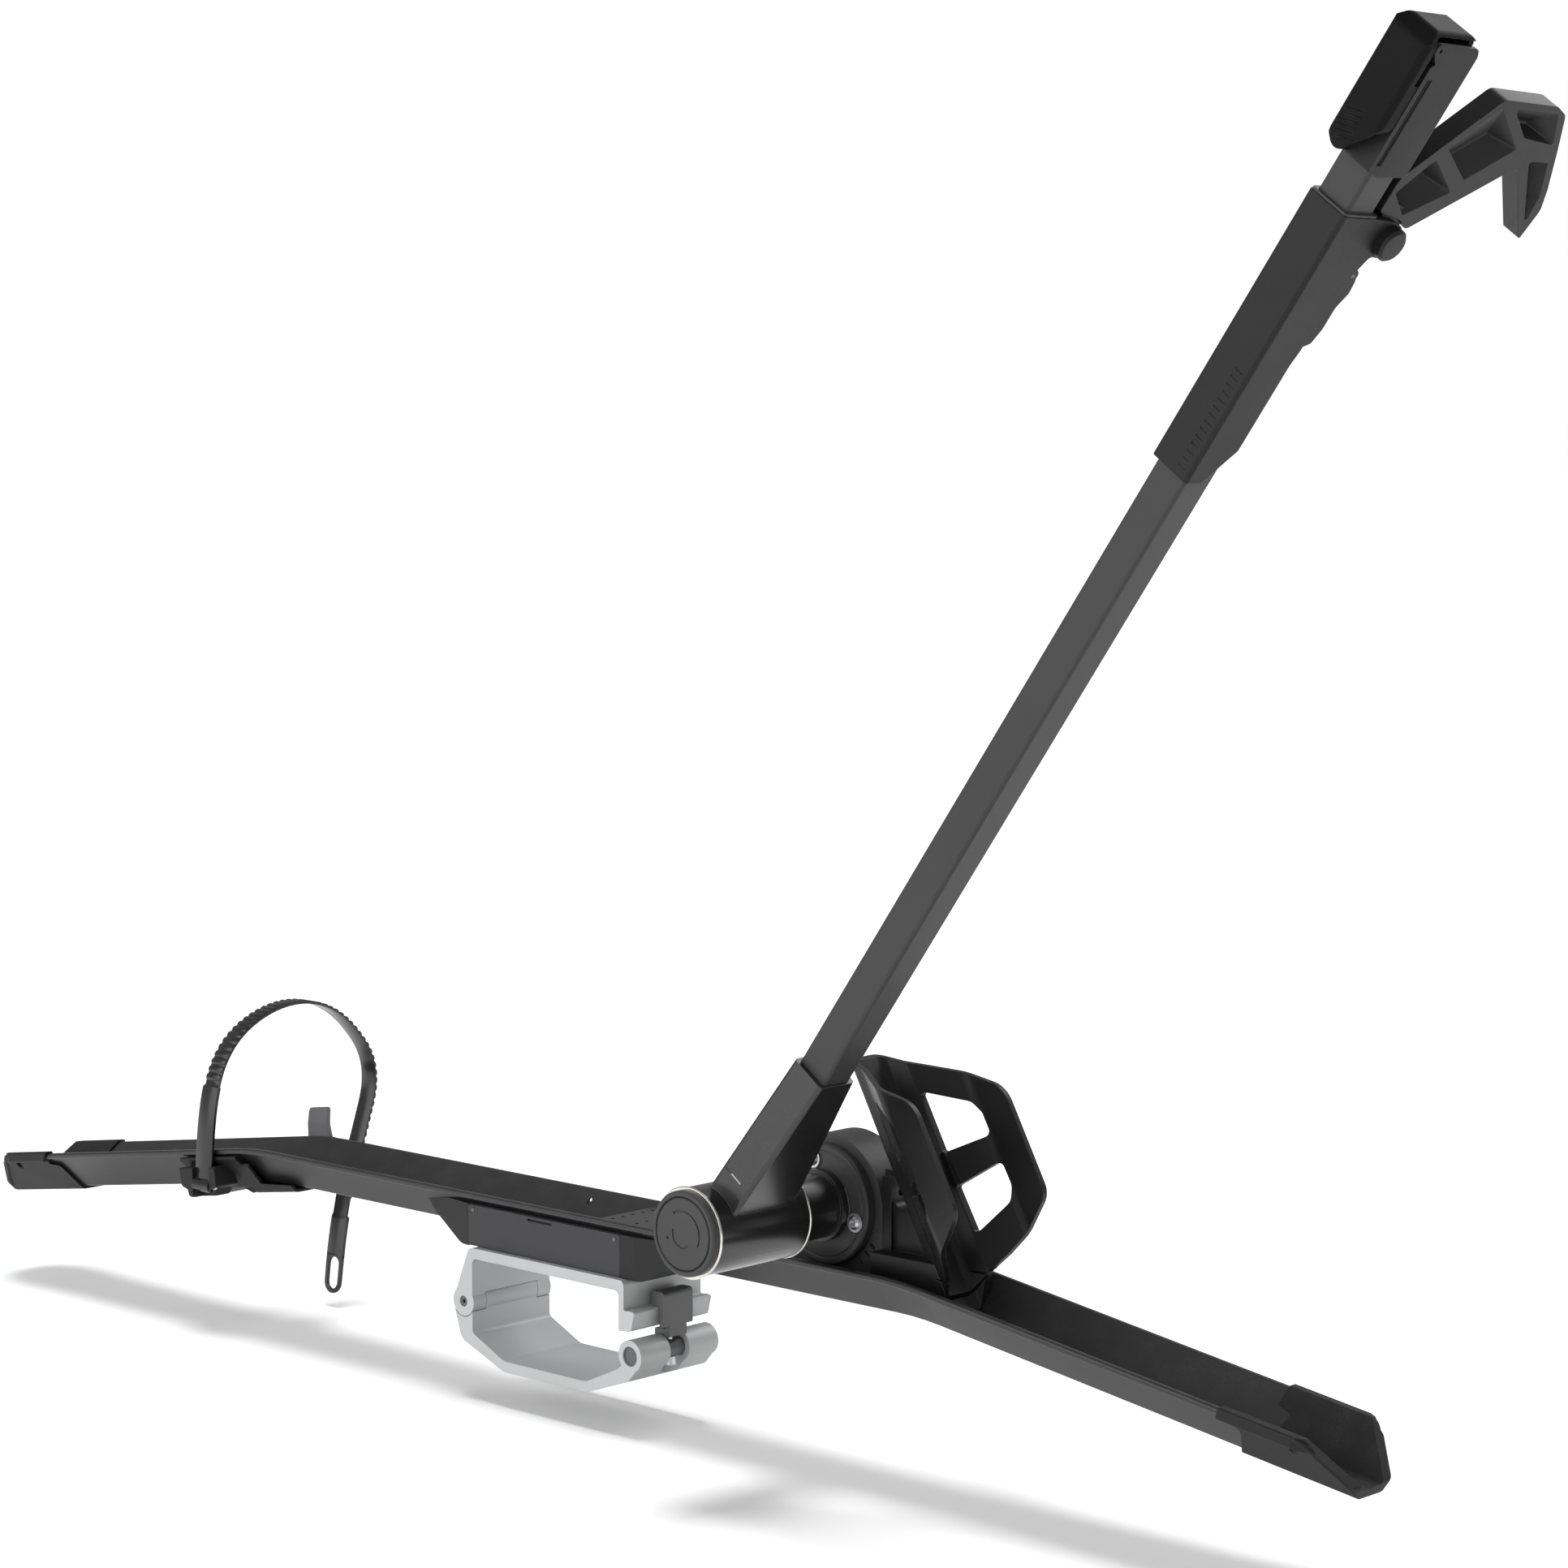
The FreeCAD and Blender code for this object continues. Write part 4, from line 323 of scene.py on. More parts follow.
HUB = (0.251, 0.0, 0.0831)
FINISHES = {
    "tray_paint": Finish(
        "satin_powder_coat", (0.022, 0.022, 0.024), Pattern.POWDER, 0.32, 0.05, grain=1400, depth=0.04,
        specular=0.5,
    ),
    "cap_plastic": Finish(
        "cap_rubbery_plastic", (0.014, 0.014, 0.015), Pattern.MOULDED, 0.5, 0.1, grain=1600, depth=0.1,
    ),
    "housing_plastic": Finish(
        "housing_plastic", (0.02, 0.02, 0.021), Pattern.MOULDED, 0.52, 0.1, grain=1500, depth=0.12,
    ),
    "panel_grey": Finish(
        "panel_paint", (0.05, 0.05, 0.053), Pattern.POWDER, 0.42, 0.06, grain=1300, depth=0.05,
    ),
    "screw_steel": Finish(
        "zinc_steel", (0.55, 0.55, 0.56), Pattern.CAST, 0.3, 0.1, metallic=1.0, grain=1200, depth=0.05,
    ),
    "jaw_alloy": Finish(
        "blasted_alloy", (0.6, 0.605, 0.61), Pattern.CAST, 0.46, 0.1, metallic=0.25, tone=0.05, grain=1300,
        depth=0.12, edge_colour=(0.85, 0.85, 0.86), dust=0.05,
    ),
    "dark_steel": Finish(
        "black_oxide", (0.15, 0.15, 0.153), Pattern.CAST, 0.4, 0.12, metallic=0.35, grain=1500, depth=0.08,
        edge_colour=(0.4, 0.4, 0.4), edge_amount=0.6,
    ),
    "block_black": Finish("block_paint", (0.05, 0.05, 0.051), Pattern.CAST, 0.4, 0.08, grain=900, depth=0.1),
    "disc_black": Finish(
        "disc_turned_black", (0.055, 0.055, 0.056), Pattern.TURNED, 0.34, 0.04, grain=900, depth=0.03,
        cells=0.0, centre=HUB,
    ),
    "shaft_black": Finish(
        "shaft_turned_black", (0.02, 0.02, 0.021), Pattern.TURNED, 0.3, 0.02, grain=900, depth=0.01,
        cells=0.0, centre=HUB, specular=0.6,
    ),
    "barrel_black": Finish(
        "barrel_anodised_black", (0.02, 0.02, 0.021), Pattern.TURNED, 0.24, 0.015, grain=900, depth=0.005,
        cells=0.0, centre=HUB, specular=0.6, coat=0.1, edge_colour=(0.35, 0.35, 0.34),
    ),
    "ring_bright": Finish(
        "bright_ring", (0.76, 0.74, 0.69), Pattern.TURNED, 0.2, 0.06, metallic=1.0, grain=2500, depth=0.05,
        cells=0.0, centre=HUB, tone=0.04,
    ),
    "hub_cap_plastic": Finish(
        "hub_cap_plastic", (0.07, 0.07, 0.072), Pattern.MOULDED, 0.42, 0.08, grain=1500, depth=0.08,
    ),
    "arm_paint": Finish(
        "arm_powder_coat", (0.058, 0.058, 0.06), Pattern.POWDER, 0.4, 0.05, tone=0.05, grain=1500,
        depth=0.04,
    ),
    "head_plastic": Finish(
        "head_plastic", (0.012, 0.012, 0.0125), Pattern.MOULDED, 0.48, 0.1, grain=1500, depth=0.1,
    ),
    "cover_plastic": Finish(
        "cover_plastic", (0.005, 0.005, 0.0053), Pattern.MOULDED, 0.5, 0.1, grain=1500, depth=0.1,
        specular=0.12, dust=0.0,
    ),
    "slider_plastic": Finish(
        "slider_plastic", (0.013, 0.013, 0.0136), Pattern.MOULDED, 0.46, 0.08, grain=1700, depth=0.1,
    ),
    "hook_plastic": Finish(
        "hook_plastic", (0.015, 0.015, 0.0156), Pattern.MOULDED, 0.45, 0.08, grain=1600, depth=0.1,
    ),
    "cradle_plastic": Finish(
        "cradle_plastic", (0.012, 0.012, 0.0125), Pattern.MOULDED, 0.32, 0.1, grain=1500, depth=0.08,
    ),
    "strap_plastic": Finish(
        "strap_plastic", (0.012, 0.012, 0.013), Pattern.MOULDED, 0.2, 0.05, grain=1200, depth=0.03,
        specular=0.5,
    ),
    # Near-black: the print of the index lines, and painted shade on the floor of the hub cap's groove.
    "dark_mark_and_groove_shade": Finish(
        "dark_mark_and_groove_shade", (0.006, 0.006, 0.006), Pattern.POWDER, 0.6, 0.06, grain=1500, depth=0.03, dust=0.0,
    ),
    "mark_pale": Finish(
        "mark_pale", (0.5, 0.5, 0.5), Pattern.POWDER, 0.5, 0.06, grain=1500, depth=0.03, dust=0.0,
    ),
    "tab_grey": Finish(
        "tab_grey_plastic", (0.19, 0.19, 0.2), Pattern.MOULDED, 0.45, 0.08, grain=1500, depth=0.08,
        dust=0.04,
    ),
}


@dataclass(frozen=True)
class LocalFrame:
    """Axes of a leaning part, in millimetres: an origin and a turn about Y that takes z towards x."""

    origin: tuple[float, float, float]
    turn_deg: float

    def place(self, points: np.ndarray) -> np.ndarray:
        """Moves local points into the model.

        Args:
            points: an array whose last axis is x, y and z in millimetres.

        Returns:
            The same array in metres, turned and moved by the origin: x becomes x cos t + z sin t, and z becomes
            z cos t - x sin t.
        """
        turn = math.radians(self.turn_deg)
        cosine, sine = math.cos(turn), math.sin(turn)
        x, y, z = points[..., 0], points[..., 1], points[..., 2]
        turned = np.stack([x * cosine + z * sine, y, z * cosine - x * sine], axis=-1)
        return (turned + np.array(self.origin)) * MM


LEFT_END = LocalFrame((-330.0, 0.0, 48.3), -8.4)
RIGHT_END = LocalFrame((335.0, 0.0, 48.3), 8.34)
ARM = LocalFrame((251.0, 0.0, 83.1), 36.36)


class Spline:
    """Smooth run through points: a natural cubic in each coordinate over the chord length."""

    def __init__(self, points: np.ndarray) -> None:
        """Solves the second derivatives m of: h0 m0 + 2 (h0 + h1) m1 + h1 m2 = 6 (slope1 - slope0)."""
        self.points = np.asarray(points, float)
        steps = np.linalg.norm(np.diff(self.points, axis=0), axis=1)
        self.knots = np.concatenate([[0.0], np.cumsum(steps)])
        count = len(self.points)
        matrix = np.eye(count)
        inner = np.arange(1, count - 1)
        matrix[inner, inner] = 2 * (steps[:-1] + steps[1:])
        matrix[inner, inner - 1] = steps[:-1]
        matrix[inner, inner + 1] = steps[1:]
        slopes = np.diff(self.points, axis=0) / steps[:, None]
        right = np.zeros_like(self.points)
        right[1:-1] = 6 * np.diff(slopes, axis=0)
        self.bends = np.linalg.solve(matrix, right)
        fine = np.linspace(0.0, self.knots[-1], 4000)
        lengths = np.linalg.norm(np.diff(self._at_knot(fine), axis=0), axis=1)
        self._fine, self._run = fine, np.concatenate([[0.0], np.cumsum(lengths)])
        self.length = float(self._run[-1])

    def _at_knot(self, t: np.ndarray) -> np.ndarray:
        """Points at chord parameters, by the cubic of the stretch that each lies in."""
        index = np.clip(np.searchsorted(self.knots, t, side="right") - 1, 0, len(self.knots) - 2)
        h = (self.knots[index + 1] - self.knots[index])[:, None]
        a = (self.knots[index + 1] - t)[:, None] / h
        b = 1.0 - a
        cubic = ((a**3 - a) * self.bends[index] + (b**3 - b) * self.bends[index + 1]) * h * h / 6
        return a * self.points[index] + b * self.points[index + 1] + cubic

    def at(self, run: np.ndarray) -> np.ndarray:
        """Points at distances along the run."""
        return self._at_knot(np.interp(run, self._run, self._fine))

    def along(self, run: np.ndarray) -> np.ndarray:
        """Unit directions at distances along the run, from points a little either side."""
        step = self.at(np.minimum(run + 0.2, self.length)) - self.at(np.maximum(run - 0.2, 0.0))
        return step / np.linalg.norm(step, axis=-1, keepdims=True)


class SurfaceMaker:
    """Puts grids of points into meshes."""

    def __init__(self, finishes: dict[str, bpy.types.Material]) -> None:
        """Keeps the finishes that pieces are dressed in."""
        self.finishes = finishes

    def faces(self, rows: int, columns: int, ring: bool, first: int) -> list[tuple[int, ...]]:
        """Quads of a grid whose point (i, j) has the number first + i * columns + j.

        Args:
            rows: how many closed sections there are.
            columns: how many points each section has. They wrap round.
            ring: whether the last section joins the first.
            first: the number of the grid's first point.

        Returns:
            The four point numbers of each quad.
        """
        i, j = np.meshgrid(np.arange(rows if ring else rows - 1), np.arange(columns))
        i, j = i.ravel(), j.ravel()
        down, across = (i + 1) % rows, (j + 1) % columns
        corners = [i * columns + j, down * columns + j, down * columns + across, i * columns + across]
        return list(map(tuple, (np.column_stack(corners) + first).tolist()))

    def piece(
        self, name: str, shells: list[tuple[np.ndarray, bool]], finish: str, body: str, sharp_deg: float = 40.0,
        slot: str = "",
    ) -> bpy.types.Object:
        """Makes one piece of closed shells, each a run of closed sections.

        Args:
            name: the piece's name.
            shells: for each shell its grid (row, column, xyz) in metres, and whether its rows close to a ring.
            finish: the material slot it is dressed in.
            body: the body it rides on.
            sharp_deg: edges that bend more than this stay sharp.
            slot: the record's material slot, where it has another name than the finish. It is not used.

        Returns:
            The piece's object, with outward faces.
        """
        points: list[np.ndarray] = []
        faces: list[tuple[int, ...]] = []
        first = 0
        for grid, ring in shells:
            rows, columns = grid.shape[:2]
            shell = self.faces(rows, columns, ring, first)
            if not ring:
                shell.append(tuple(range(first, first + columns)))
                shell.append(tuple(reversed(range(first + (rows - 1) * columns, first + rows * columns))))
            flat = grid.reshape(-1, 3)
            if self._volume(flat, shell, first) < 0:
                shell = [tuple(reversed(face)) for face in shell]
            points.append(flat)
            faces.extend(shell)
            first += len(flat)
        mesh = bpy.data.meshes.new(name)
        mesh.from_pydata(np.concatenate(points).tolist(), [], faces)
        mesh.polygons.foreach_set("use_smooth", np.ones(len(mesh.polygons), bool))
        mesh.set_sharp_from_angle(angle=math.radians(sharp_deg))
        mesh.materials.append(self.finishes[finish])
        made = bpy.data.objects.new(name, mesh)
        bpy.context.scene.collection.objects.link(made)
        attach(made, body)
        LOG.info("made %s: %d faces on %s", name, len(faces), body)
        return made

    def _volume(self, points: np.ndarray, faces: list[tuple[int, ...]], first: int) -> float:
        """Signed volume: a sixth of the sum of a . (b x c) over the fan triangles of every face."""
        total = 0.0
        centre = points.mean(axis=0)
        quads = np.array([face for face in faces if len(face) == 4]) - first
        fans = [face for face in faces if len(face) != 4]
        for a, b, c in ((0, 1, 2), (0, 2, 3)):
            p, q, r = (points[quads[:, k]] - centre for k in (a, b, c))
            total += float(np.einsum("ij,ij->i", p, np.cross(q, r)).sum())
        for face in fans:
            ring = points[np.array(face) - first] - centre
            apex = np.broadcast_to(ring[0], ring[1:-1].shape)
            total += float(np.einsum("ij,ij->i", apex, np.cross(ring[1:-1], ring[2:])).sum())
        return total / 6


def rounded_box(
    half_x: np.ndarray, low: np.ndarray, high: np.ndarray, corner: float,
) -> tuple[np.ndarray, np.ndarray]:
    """Section of a flat bar with cut corners, for many stations at once.

    Args:
        half_x: half width at each station.
        low: lower face's height at each station.
        high: upper face's height at each station.
        corner: how far each corner is cut.

    Returns:
        Across and height values, one row of twelve points for each station: three points turn each corner.
    """
    x, low, high = (np.asarray(v, float)[:, None] for v in (half_x, low, high))
    c = corner
    d = corner * 0.3
    across = np.concatenate([-x, -x + d, -x + c, x - c, x - d, x, x, x - d, x - c, -x + c, -x + d, -x], axis=1)
    below = [low + c, low + d, low, low, low + d, low + c]
    above = [high - c, high - d, high, high, high - d, high - c]
    height = np.concatenate(below + above, axis=1)
    return across, height


@dataclass
class WheelStrap:
    """The moulded ladder strap: wide foot with an eye, narrow toothed run, wide tail with a finger slot."""

    maker: SurfaceMaker
    x: float = -383.0
    half_width: float = 9.8
    ladder_half: float = 8.7
    skin: float = 1.3
    tooth: float = 1.05
    tooth_offsets: tuple[float, ...] = (-2.7, -2.3, -1.3, -0.8, 0.4, 1.5, 1.8, 2.1, 2.4)
    tooth_profile: tuple[float, ...] = (0.0, 0.12, 0.9, 1.0, 1.0, 0.95, 0.7, 0.15, 0.0)
    pitch: float = 6.4
    toothless: float = 160.0
    plain_step: float = 4.0
    corner: float = 0.45
    first_tooth: float = 90.0
    narrow_start: float = 82.0
    narrow_left: float = 62.0
    slot_half: float = 5.9
    slot_start: float = -29.4
    slot_end: float = -3.6
    slot_rim: float = 2.2
    eye: tuple[float, float] = (-43.2, 13.0)
    eye_radii: tuple[float, ...] = (3.0, 4.7, 5.15, 5.15, 4.7, 3.0)
    eye_edge: float = 0.4
    route: tuple[tuple[float, float], ...] = (
        (-43.6, 8.0), (-42.2, 35.0), (-39.4, 64.0), (-35.2, 86.0), (-27.3, 107.0), (-13.5, 125.0),
        (8.0, 139.0), (34.0, 146.8), (58.0, 147.0), (90.5, 134.3), (110.6, 115.5), (122.4, 97.9),
        (126.5, 81.0), (125.3, 65.5), (120.0, 48.2), (113.2, 28.4), (104.0, 5.0), (98.6, -15.4),
        (92.6, -42.0), (85.0, -94.0),
    )

    def build(self) -> bpy.types.Object:
        """Makes the strap and lets it stand for the solid."""
        self.path = Spline(np.array(self.route))
        shells = [(self._run(), False), (self._tail(), True), (self._eye(), False)]
        strap = self.maker.piece("wheel_strap_moulding", shells, "strap_plastic", "strap", 35.0)
        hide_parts("wheel_strap")
        return strap

    def _solid(self, run: np.ndarray, across: np.ndarray, height: np.ndarray) -> np.ndarray:
        """Carries section points along the run: point + outward normal * height, and across in x.

        Args:
            run: distance along the strap, of the same shape as the two others or one column of it.
            across: x offset from the strap's middle.
            height: offset to the outside of the arc.

        Returns:
            Points in metres. The outward normal of the direction (dy, dz) is (-dz, dy).
        """
        flat = np.broadcast_to(run, across.shape)
        spot = self.path.at(flat.ravel()).reshape(*flat.shape, 2)
        way = self.path.along(flat.ravel()).reshape(*flat.shape, 2)
        y = spot[..., 0] - way[..., 1] * height
        z = spot[..., 1] + way[..., 0] * height
        return np.stack([self.x + across, y, z], axis=-1) * MM

    def _run(self) -> np.ndarray:
        """Bar from the eye to the slot.

        The outer face lies at skin - tooth * (1 - ridge), where ridge follows each tooth's profile.
        """
        end = self.path.length + self.slot_start - 0.4
        narrow_end = self.path.length - self.narrow_left
        count = int((self.path.length - self.toothless) / self.pitch)
        centres = self.first_tooth + self.pitch * np.arange(count)
        teeth = (centres[:, None] + np.array(self.tooth_offsets)).ravel()
        ridges = np.tile(self.tooth_profile, count)
        before = np.arange(0.0, self.narrow_start, self.plain_step)
        plain = np.concatenate([before, np.arange(narrow_end + 3, end, self.plain_step)])
        edges = np.array([self.narrow_start, self.narrow_start + 1.5, narrow_end - 1.5, narrow_end, end])
        run = np.concatenate([teeth, plain, edges])
        ridge = np.concatenate([ridges, np.ones(len(plain)), np.array([1.0, 0.0, 0.0, 1.0, 1.0])])
        order = np.argsort(run)
        run, ridge = run[order], ridge[order]
        inside = (run > self.narrow_start + 1.0) & (run < narrow_end - 1.0)
        half = np.where(inside, self.ladder_half, self.half_width)
        outer = self.skin - self.tooth * (1 - ridge)
        across, height = rounded_box(half, np.full(len(run), -self.skin), outer, self.corner)
        return self._solid(run[:, None], across, height)

    def _tail(self) -> np.ndarray:
        """Ring round the slot: at each angle a section from the slot's edge to the outline.

        The slot is a stadium. The outline round its far end is a circle. Round its near end it is where a ray
        meets the strap's straight sides or the line where the bar ends.
        """
        angle = np.linspace(0.0, 2 * np.pi, 96, endpoint=False)
        side, ahead = np.sin(angle), np.cos(angle)
        far = ahead >= 0
        middle = np.where(far, self.slot_end - self.slot_half, self.slot_start + self.slot_half)
        to_side = self.half_width / np.maximum(np.abs(side), 1e-6)
        to_end = (self.slot_half + self.slot_rim) / np.maximum(np.abs(ahead), 1e-6)
        reach = np.where(far, self.half_width - 0.25, np.minimum(to_side, to_end))
        share, height = self._ring_section()
        radius = self.slot_half + (reach[:, None] - self.slot_half) * share
        along = np.minimum(self.path.length + middle[:, None] + radius * ahead[:, None], self.path.length)
        return self._solid(along, radius * side[:, None], np.broadcast_to(height, radius.shape))

    def _ring_section(self) -> tuple[np.ndarray, np.ndarray]:
        """Shares from slot to outline, and heights, of the ring's rounded section."""
        share = np.array([0.0, 0.04, 0.14, 0.86, 0.96, 1.0, 1.0, 0.96, 0.86, 0.14, 0.04, 0.0])
        k = self.skin
        below = [-k + 0.5, -k + 0.15, -k, -k, -k + 0.15, -k + 0.5]
        height = np.array(below + [k - 0.5, k - 0.15, k, k, k - 0.15, k - 0.5])
        return share[None, :], height[None, :]

    def _eye(self) -> np.ndarray:
        """Round eye at the foot: a tube along x whose section runs from the pin's bore to the outside."""
        angle = np.linspace(0.0, 2 * np.pi, 48, endpoint=False)
        half = self.half_width
        x = np.array([-half, -half, -half + self.eye_edge, half - self.eye_edge, half, half])
        radius = np.array(self.eye_radii)
        y = self.eye[0] + radius[:, None] * np.cos(angle)
        z = self.eye[1] + radius[:, None] * np.sin(angle)
        return np.stack([np.broadcast_to(self.x + x[:, None], y.shape), y, z], axis=-1) * MM


@dataclass
class CapRolls:
    """Rolled edges of the two end caps: down the slope, round the low end and up again."""

    maker: SurfaceMaker
    radius: float = 2.1
    rim: float = 38.2
    taper_run: float = 6.0

    def build(self) -> None:
        """Makes one roll on each cap."""
        self._roll("front_cap_roll", RIGHT_END, 1.0, 331.0)
        self._roll("rear_cap_roll", LEFT_END, -1.0, 326.5)

    def _roll(self, name: str, frame_: LocalFrame, way: float, shoulder: float) -> None:
        """Sweeps a circle: path point + radius * (cos a * side + sin a * up), both square to the path."""
        far = np.array([
            (shoulder - 12, self.rim, -0.9), (shoulder - 5, self.rim, -0.9),
            (shoulder + 1.5, self.rim - 1.2, -2.4), (shoulder + 9, 31.6, -8.6),
            (shoulder + 18, 24.6, -17.0), (shoulder + 25.6, 18.0, -24.4),
            (shoulder + 27.2, 13.2, -28.2), (shoulder + 27.4, 6.0, -29.6),
        ])
        near = far * np.array([1.0, -1.0, 1.0])
        path = Spline(np.concatenate([near, far[::-1]]))
        run = np.linspace(0.0, path.length, 120)
        spot, ahead = path.at(run), path.along(run)
        side = np.cross(ahead, (0.0, 0.0, 1.0))
        side /= np.linalg.norm(side, axis=1, keepdims=True)
        up = np.cross(side, ahead)
        angle = np.linspace(0.0, 2 * np.pi, 16, endpoint=False)
        taper = self.radius * np.sqrt(np.clip(np.minimum(run, path.length - run) / self.taper_run, 0.02, 1.0))
        ring = side[:, None] * np.cos(angle)[:, None] + up[:, None] * np.sin(angle)[:, None]
        grid = spot[:, None] + taper[:, None, None] * ring
        grid[..., 0] *= way
        self.maker.piece(name, [(frame_.place(grid), False)], "cap_plastic", "tray")


@dataclass
class PivotMarks:
    """Small marks at the pivot.

    They are index lines on the block, a pale arc on the disc, a line on the socket and a dark band of painted
    shade on the floor of the cap's groove.
    """

    maker: SurfaceMaker
    hub: tuple[float, float] = (251.0, 83.1)
    disc_face: float = -16.0
    block_face: float = -8.0
    index_turns: tuple[float, ...] = (-52.0, -42.0, -32.0)
    index_reach: tuple[float, float] = (42.6, 47.5)
    index_half: float = 0.75
    arc_radius: float = 24.0
    arc_turns: tuple[float, float] = (-14.0, 34.0)
    arc_half: float = 0.55
    groove_radii: tuple[float, float] = (23.8, 24.6)
    groove_floor: float = -148.4

    def build(self) -> None:
        """Makes the marks."""
        lines = [(self._radial(math.radians(turn)), False) for turn in self.index_turns]
        self.maker.piece("index_lines", lines, "dark_mark_and_groove_shade", "tray", slot="block_black")
        self.maker.piece("disc_arc", [(self._arc(), False)], "mark_pale", "tray", slot="tab_grey")
        self.maker.piece("socket_line", [(self._line(), False)], "mark_pale", "arm", slot="tab_grey")
        # Painted shade: a near-black band on the groove floor stands in for the shade inside the cap's groove.
        self.maker.piece("cap_groove_painted_shade", [(self._cap_groove_painted_shade(), False)], "dark_mark_and_groove_shade", "arm", slot="hub_cap_plastic")

    def _face(self, x: np.ndarray, z: np.ndarray, face: float) -> np.ndarray:
        """Thin plate, from 0.3 mm inside a face to 0.25 mm in front of it."""
        plate = [np.stack([x, np.full_like(x, y), z], axis=-1) for y in (face + 0.3, face - 0.2, face - 0.25)]
        return np.stack(plate) * MM

    def _radial(self, turn: float) -> np.ndarray:
        """Index line along a ray from the hub's axis: centre + r * (cos, sin) + s * (-sin, cos) of the turn."""
        inner, outer = self.index_reach
        r = np.array([inner, outer, outer, inner])
        s = np.array([-1.0, -1.0, 1.0, 1.0]) * self.index_half
        x = self.hub[0] + r * math.cos(turn) - s * math.sin(turn)
        z = self.hub[1] + r * math.sin(turn) + s * math.cos(turn)
        return self._face(x, z, self.block_face)

    def _band(
        self, start_deg: float, end_deg: float, inner: float, outer: float, count: int,
    ) -> tuple[np.ndarray, np.ndarray]:
        """Outline of a band: r * cos and r * sin, out along the inner radius and back along the outer one."""
        turn = np.radians(np.linspace(start_deg, end_deg, count))
        turn = np.concatenate([turn, turn[::-1]])
        r = np.repeat([inner, outer], count)
        return r * np.cos(turn), r * np.sin(turn)

    def _arc(self) -> np.ndarray:
        """Pale band on the disc."""
        x, z = self._band(*self.arc_turns, self.arc_radius - self.arc_half, self.arc_radius + self.arc_half, 24)
        return self._face(self.hub[0] + x, self.hub[1] + z, self.disc_face)

    def _cap_groove_painted_shade(self) -> np.ndarray:
        """Painted shade on the floor of the cap's round groove: a dark band, nearly a full turn about the hub's
        axis.
        """
        x, z = self._band(-179.0, 179.0, *self.groove_radii, 72)
        levels = [self.groove_floor + lift for lift in (0.3, -0.2, -0.25)]
        return ARM.place(np.stack([np.stack([x, np.full_like(x, y), z], axis=-1) for y in levels]))

    def _line(self) -> np.ndarray:
        """Short line across the socket's sloping front face, which rises along the arm."""
        n = np.array([-5.0, 5.0, 5.0, -5.0])
        u = np.array([45.4, 45.4, 46.6, 46.6])
        y = -130.2 + 11.9 * (u - 19.0) / 119.0
        plate = [np.stack([n, y + lift, u], axis=-1) for lift in (0.4, -0.15, -0.2)]
        return ARM.place(np.stack(plate))


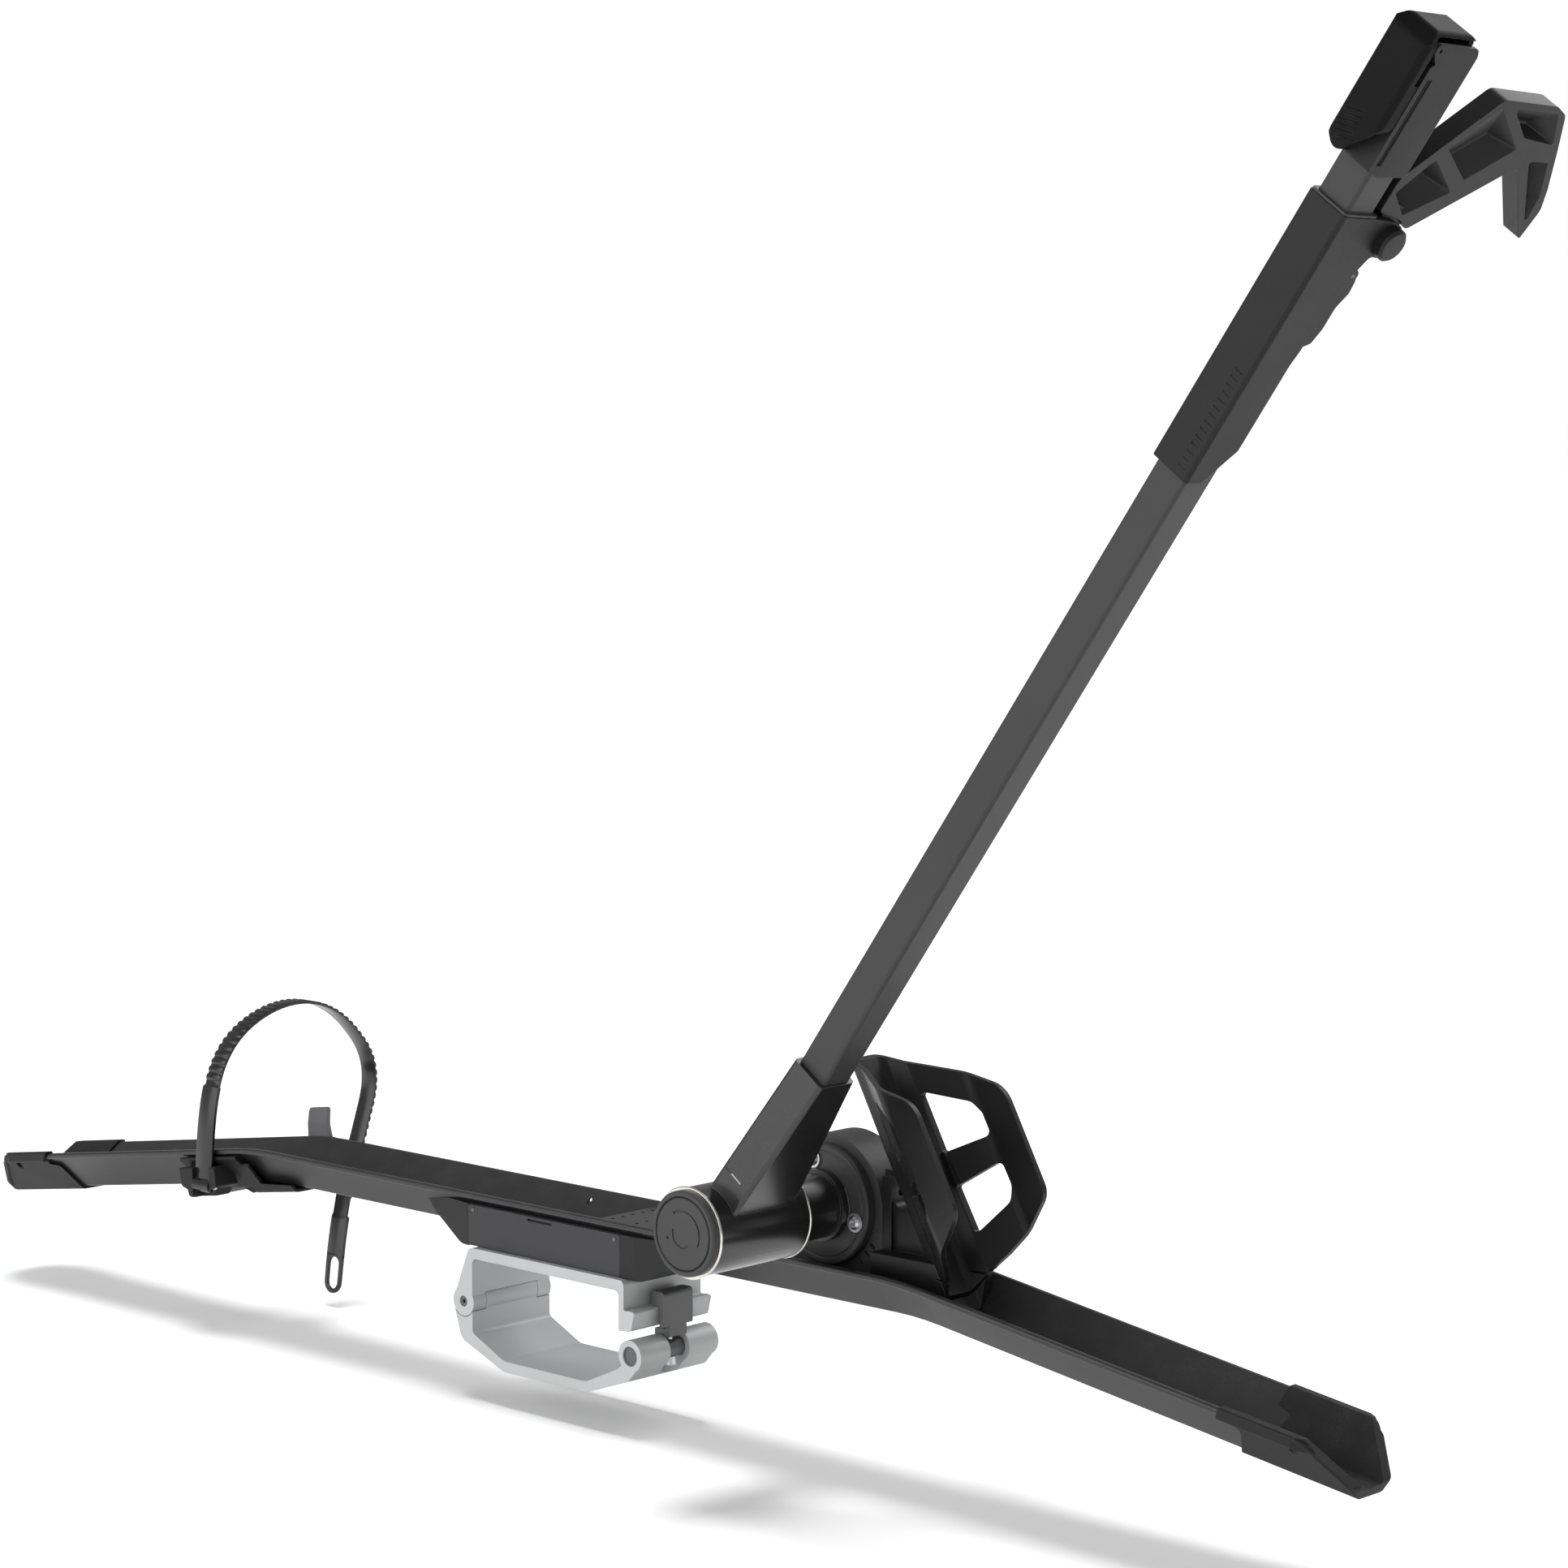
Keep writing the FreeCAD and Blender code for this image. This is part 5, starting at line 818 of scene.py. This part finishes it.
@dataclass
class Studio:
    """Pale floor, soft lamps and the camera at the photograph's angle."""

    camera_at: tuple[float, float, float] = (2.00696, -1.90749, 0.61211)
    azimuth_deg: float = 43.446
    pitch_deg: float = -5.418
    lens_mm: float = 89.3
    floor_z: float = -0.105
    floor_half: float = 40.0
    floor_glow: float = 0.1
    floor_seen: tuple[float, ...] = (0.8, 0.8, 0.8, 1.0)
    floor_unseen: tuple[float, ...] = (0.42, 0.42, 0.42, 1.0)
    world_strength: float = 0.36

    def build(self) -> None:
        """Makes the floor, the world, the lamps and the camera, and shows colours as they are written."""
        bpy.context.scene.view_settings.view_transform = "Standard"
        self._floor()
        self._world()
        self._lamps()
        self._camera()

    def _floor(self) -> None:
        """A level sheet. Camera, glossy and transmission rays see it near white, with the object's shadow."""
        half = self.floor_half
        grid = np.array([(-half, -half), (half, -half), (half, half), (-half, half)])
        points = np.column_stack([grid, np.full(4, self.floor_z)])
        mesh = bpy.data.meshes.new("floor")
        mesh.from_pydata(points.tolist(), [], [(0, 1, 2, 3)])
        floor = bpy.data.objects.new("floor", mesh)
        bpy.context.scene.collection.objects.link(floor)
        material = bpy.data.materials.new("studio_floor")
        material.use_nodes = True
        graph = Graph(material.node_tree)
        glow = graph.add("Emission")
        graph.feed(glow, "Color", (1.0, 1.0, 1.0, 1.0))
        rays = graph.add("LightPath")
        seen = graph.math("MAXIMUM", rays.outputs["Is Camera Ray"], rays.outputs["Is Glossy Ray"])
        seen = graph.math("MAXIMUM", seen, rays.outputs["Is Transmission Ray"])
        graph.feed(glow, "Strength", graph.math("MULTIPLY", seen, self.floor_glow))
        diffuse = graph.add("BsdfDiffuse")
        graph.feed(diffuse, "Color", graph.mix(seen, self.floor_unseen, self.floor_seen))
        both = graph.add("AddShader")
        graph.feed(both, 0, diffuse.outputs[0])
        graph.feed(both, 1, glow.outputs[0])
        output = graph.add("OutputMaterial")
        graph.feed(output, "Surface", both.outputs[0])
        mesh.materials.append(material)
        self.floor_only = bpy.data.collections.new("floor_only")
        self.floor_only.objects.link(floor)

    def _world(self) -> None:
        """White all round for what is seen, and a plain dimmer white for what lights."""
        world = bpy.data.worlds.new("studio")
        bpy.context.scene.world = world
        world.use_nodes = True
        graph = Graph(world.node_tree)
        rays = graph.add("LightPath")
        back = graph.add("Background")
        graph.feed(back, "Color", (1.0, 1.0, 1.0, 1.0))
        seen = graph.math("MAXIMUM", rays.outputs["Is Camera Ray"], rays.outputs["Is Transmission Ray"])
        extra = graph.math("MULTIPLY", seen, 1.0 - self.world_strength)
        graph.feed(back, "Strength", graph.math("ADD", extra, self.world_strength))
        output = graph.add("OutputWorld")
        graph.feed(output, "Surface", back.outputs[0])

    def _lamps(self) -> None:
        """A broad sun from the front, two softboxes for highlights, and a sun that lights the floor alone."""
        self._sun("key_sun", (-0.2, -1.0, 0.1), 2.0, 70.0)
        self._softbox("left_box", (-1.6, -2.2, 1.9), (0.1, 0.0, 0.2), 1.6, 9.0)
        self._softbox("back_box", (0.6, 1.9, 1.8), (0.2, 0.0, 0.0), 1.6, 22.0)
        floor_sun = self._sun("floor_sun", (0.0, 0.0, 1.0), 2.5, 20.0)
        floor_sun.light_linking.receiver_collection = self.floor_only

    def _sun(self, name: str, direction: Place, strength: float, angle: float) -> bpy.types.Object:
        """Adds a sun that shines from a direction and returns its object."""
        light = bpy.data.lights.new(name, "SUN")
        light.energy = strength
        light.angle = math.radians(angle)
        lamp = bpy.data.objects.new(name, light)
        lamp.rotation_euler = Vector(direction).to_track_quat("Z", "Y").to_euler()
        bpy.context.scene.collection.objects.link(lamp)
        return lamp

    def _softbox(self, name: str, place: Place, target: Place, size: float, power: float) -> None:
        """Adds a square area lamp that faces a point."""
        light = bpy.data.lights.new(name, "AREA")
        light.size = size
        light.energy = power
        lamp = bpy.data.objects.new(name, light)
        lamp.location = place
        lamp.rotation_euler = (Vector(place) - Vector(target)).to_track_quat("Z", "Y").to_euler()
        bpy.context.scene.collection.objects.link(lamp)

    def _camera(self) -> None:
        """Camera at the photograph's place: a level turn by the azimuth, then down by the pitch."""
        azimuth, pitch = math.radians(self.azimuth_deg), math.radians(self.pitch_deg)
        flat = math.cos(pitch)
        ahead = Vector((-math.sin(azimuth) * flat, math.cos(azimuth) * flat, math.sin(pitch)))
        data = bpy.data.cameras.new("camera")
        data.lens = self.lens_mm
        data.sensor_width = 36.0
        data.clip_start, data.clip_end = 0.05, 200.0
        camera = bpy.data.objects.new("camera", data)
        camera.location = self.camera_at
        camera.rotation_euler = ahead.to_track_quat("-Z", "Y").to_euler()
        bpy.context.scene.collection.objects.link(camera)
        bpy.context.scene.camera = camera


NODES_BY_FINISH = {
    "tray_paint": ("tray_channel", "deck_plate"),
    "cap_plastic": ("front_end_cap", "rear_end_cap", "strap_carriage", "buckle_frame"),
    "housing_plastic": ("mount_housing",),
    "panel_grey": ("side_panel_near", "side_panel_far"),
    "dark_steel": (
        "panel_screws", "tray_bolts", "jaw_hinge_pin", "clamp_dowel", "clamp_claw", "cover_pin",
        "lever_pin",
    ),
    "jaw_alloy": ("upper_jaw", "lower_jaw"),
    "screw_steel": ("clamp_bolt", "disc_bolts", "lock_core", "cradle_bolts", "strap_pin", "buckle_pin"),
    "block_black": ("pivot_block",),
    "disc_black": ("detent_disc",),
    "shaft_black": ("pivot_shaft",),
    "barrel_black": ("hub_barrel",),
    "hub_cap_plastic": ("hub_cap", "sleeve_liners"),
    "ring_bright": ("thrust_rings",),
    "arm_paint": ("arm_tube",),
    "head_plastic": ("arm_head",),
    "cover_plastic": ("head_cover",),
    "slider_plastic": ("slider_sleeve", "release_lever", "hook_pin"),
    "hook_plastic": ("tyre_hook",),
    "cradle_plastic": ("wheel_cradle", "cradle_base"),
    "strap_plastic": ("wheel_strap",),
    "tab_grey": ("buckle_lever",),
}


@dataclass(frozen=True)
class CadDress:
    """Gives each carried-over CAD piece the finish of its real counterpart."""

    finishes: dict[str, bpy.types.Material]

    def build(self) -> None:
        """Assigns a finish to every CAD piece."""
        for finish, names in NODES_BY_FINISH.items():
            for name in names:
                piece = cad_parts[name]
                piece.data.materials.clear()
                piece.data.materials.append(self.finishes[finish])
                LOG.info("dressed %s in %s", name, finish)


def main() -> None:
    """Builds finishes, dresses the part and lights it."""
    logging.basicConfig(level=logging.INFO, format="%(message)s")
    groups = SharedGroups()
    finishes = {name: finish.build(groups) for name, finish in FINISHES.items()}
    CadDress(finishes).build()
    maker = SurfaceMaker(finishes)
    WheelStrap(maker).build()
    CapRolls(maker).build()
    PivotMarks(maker).build()
    Studio().build()


if __name__ == "__main__":
    main()
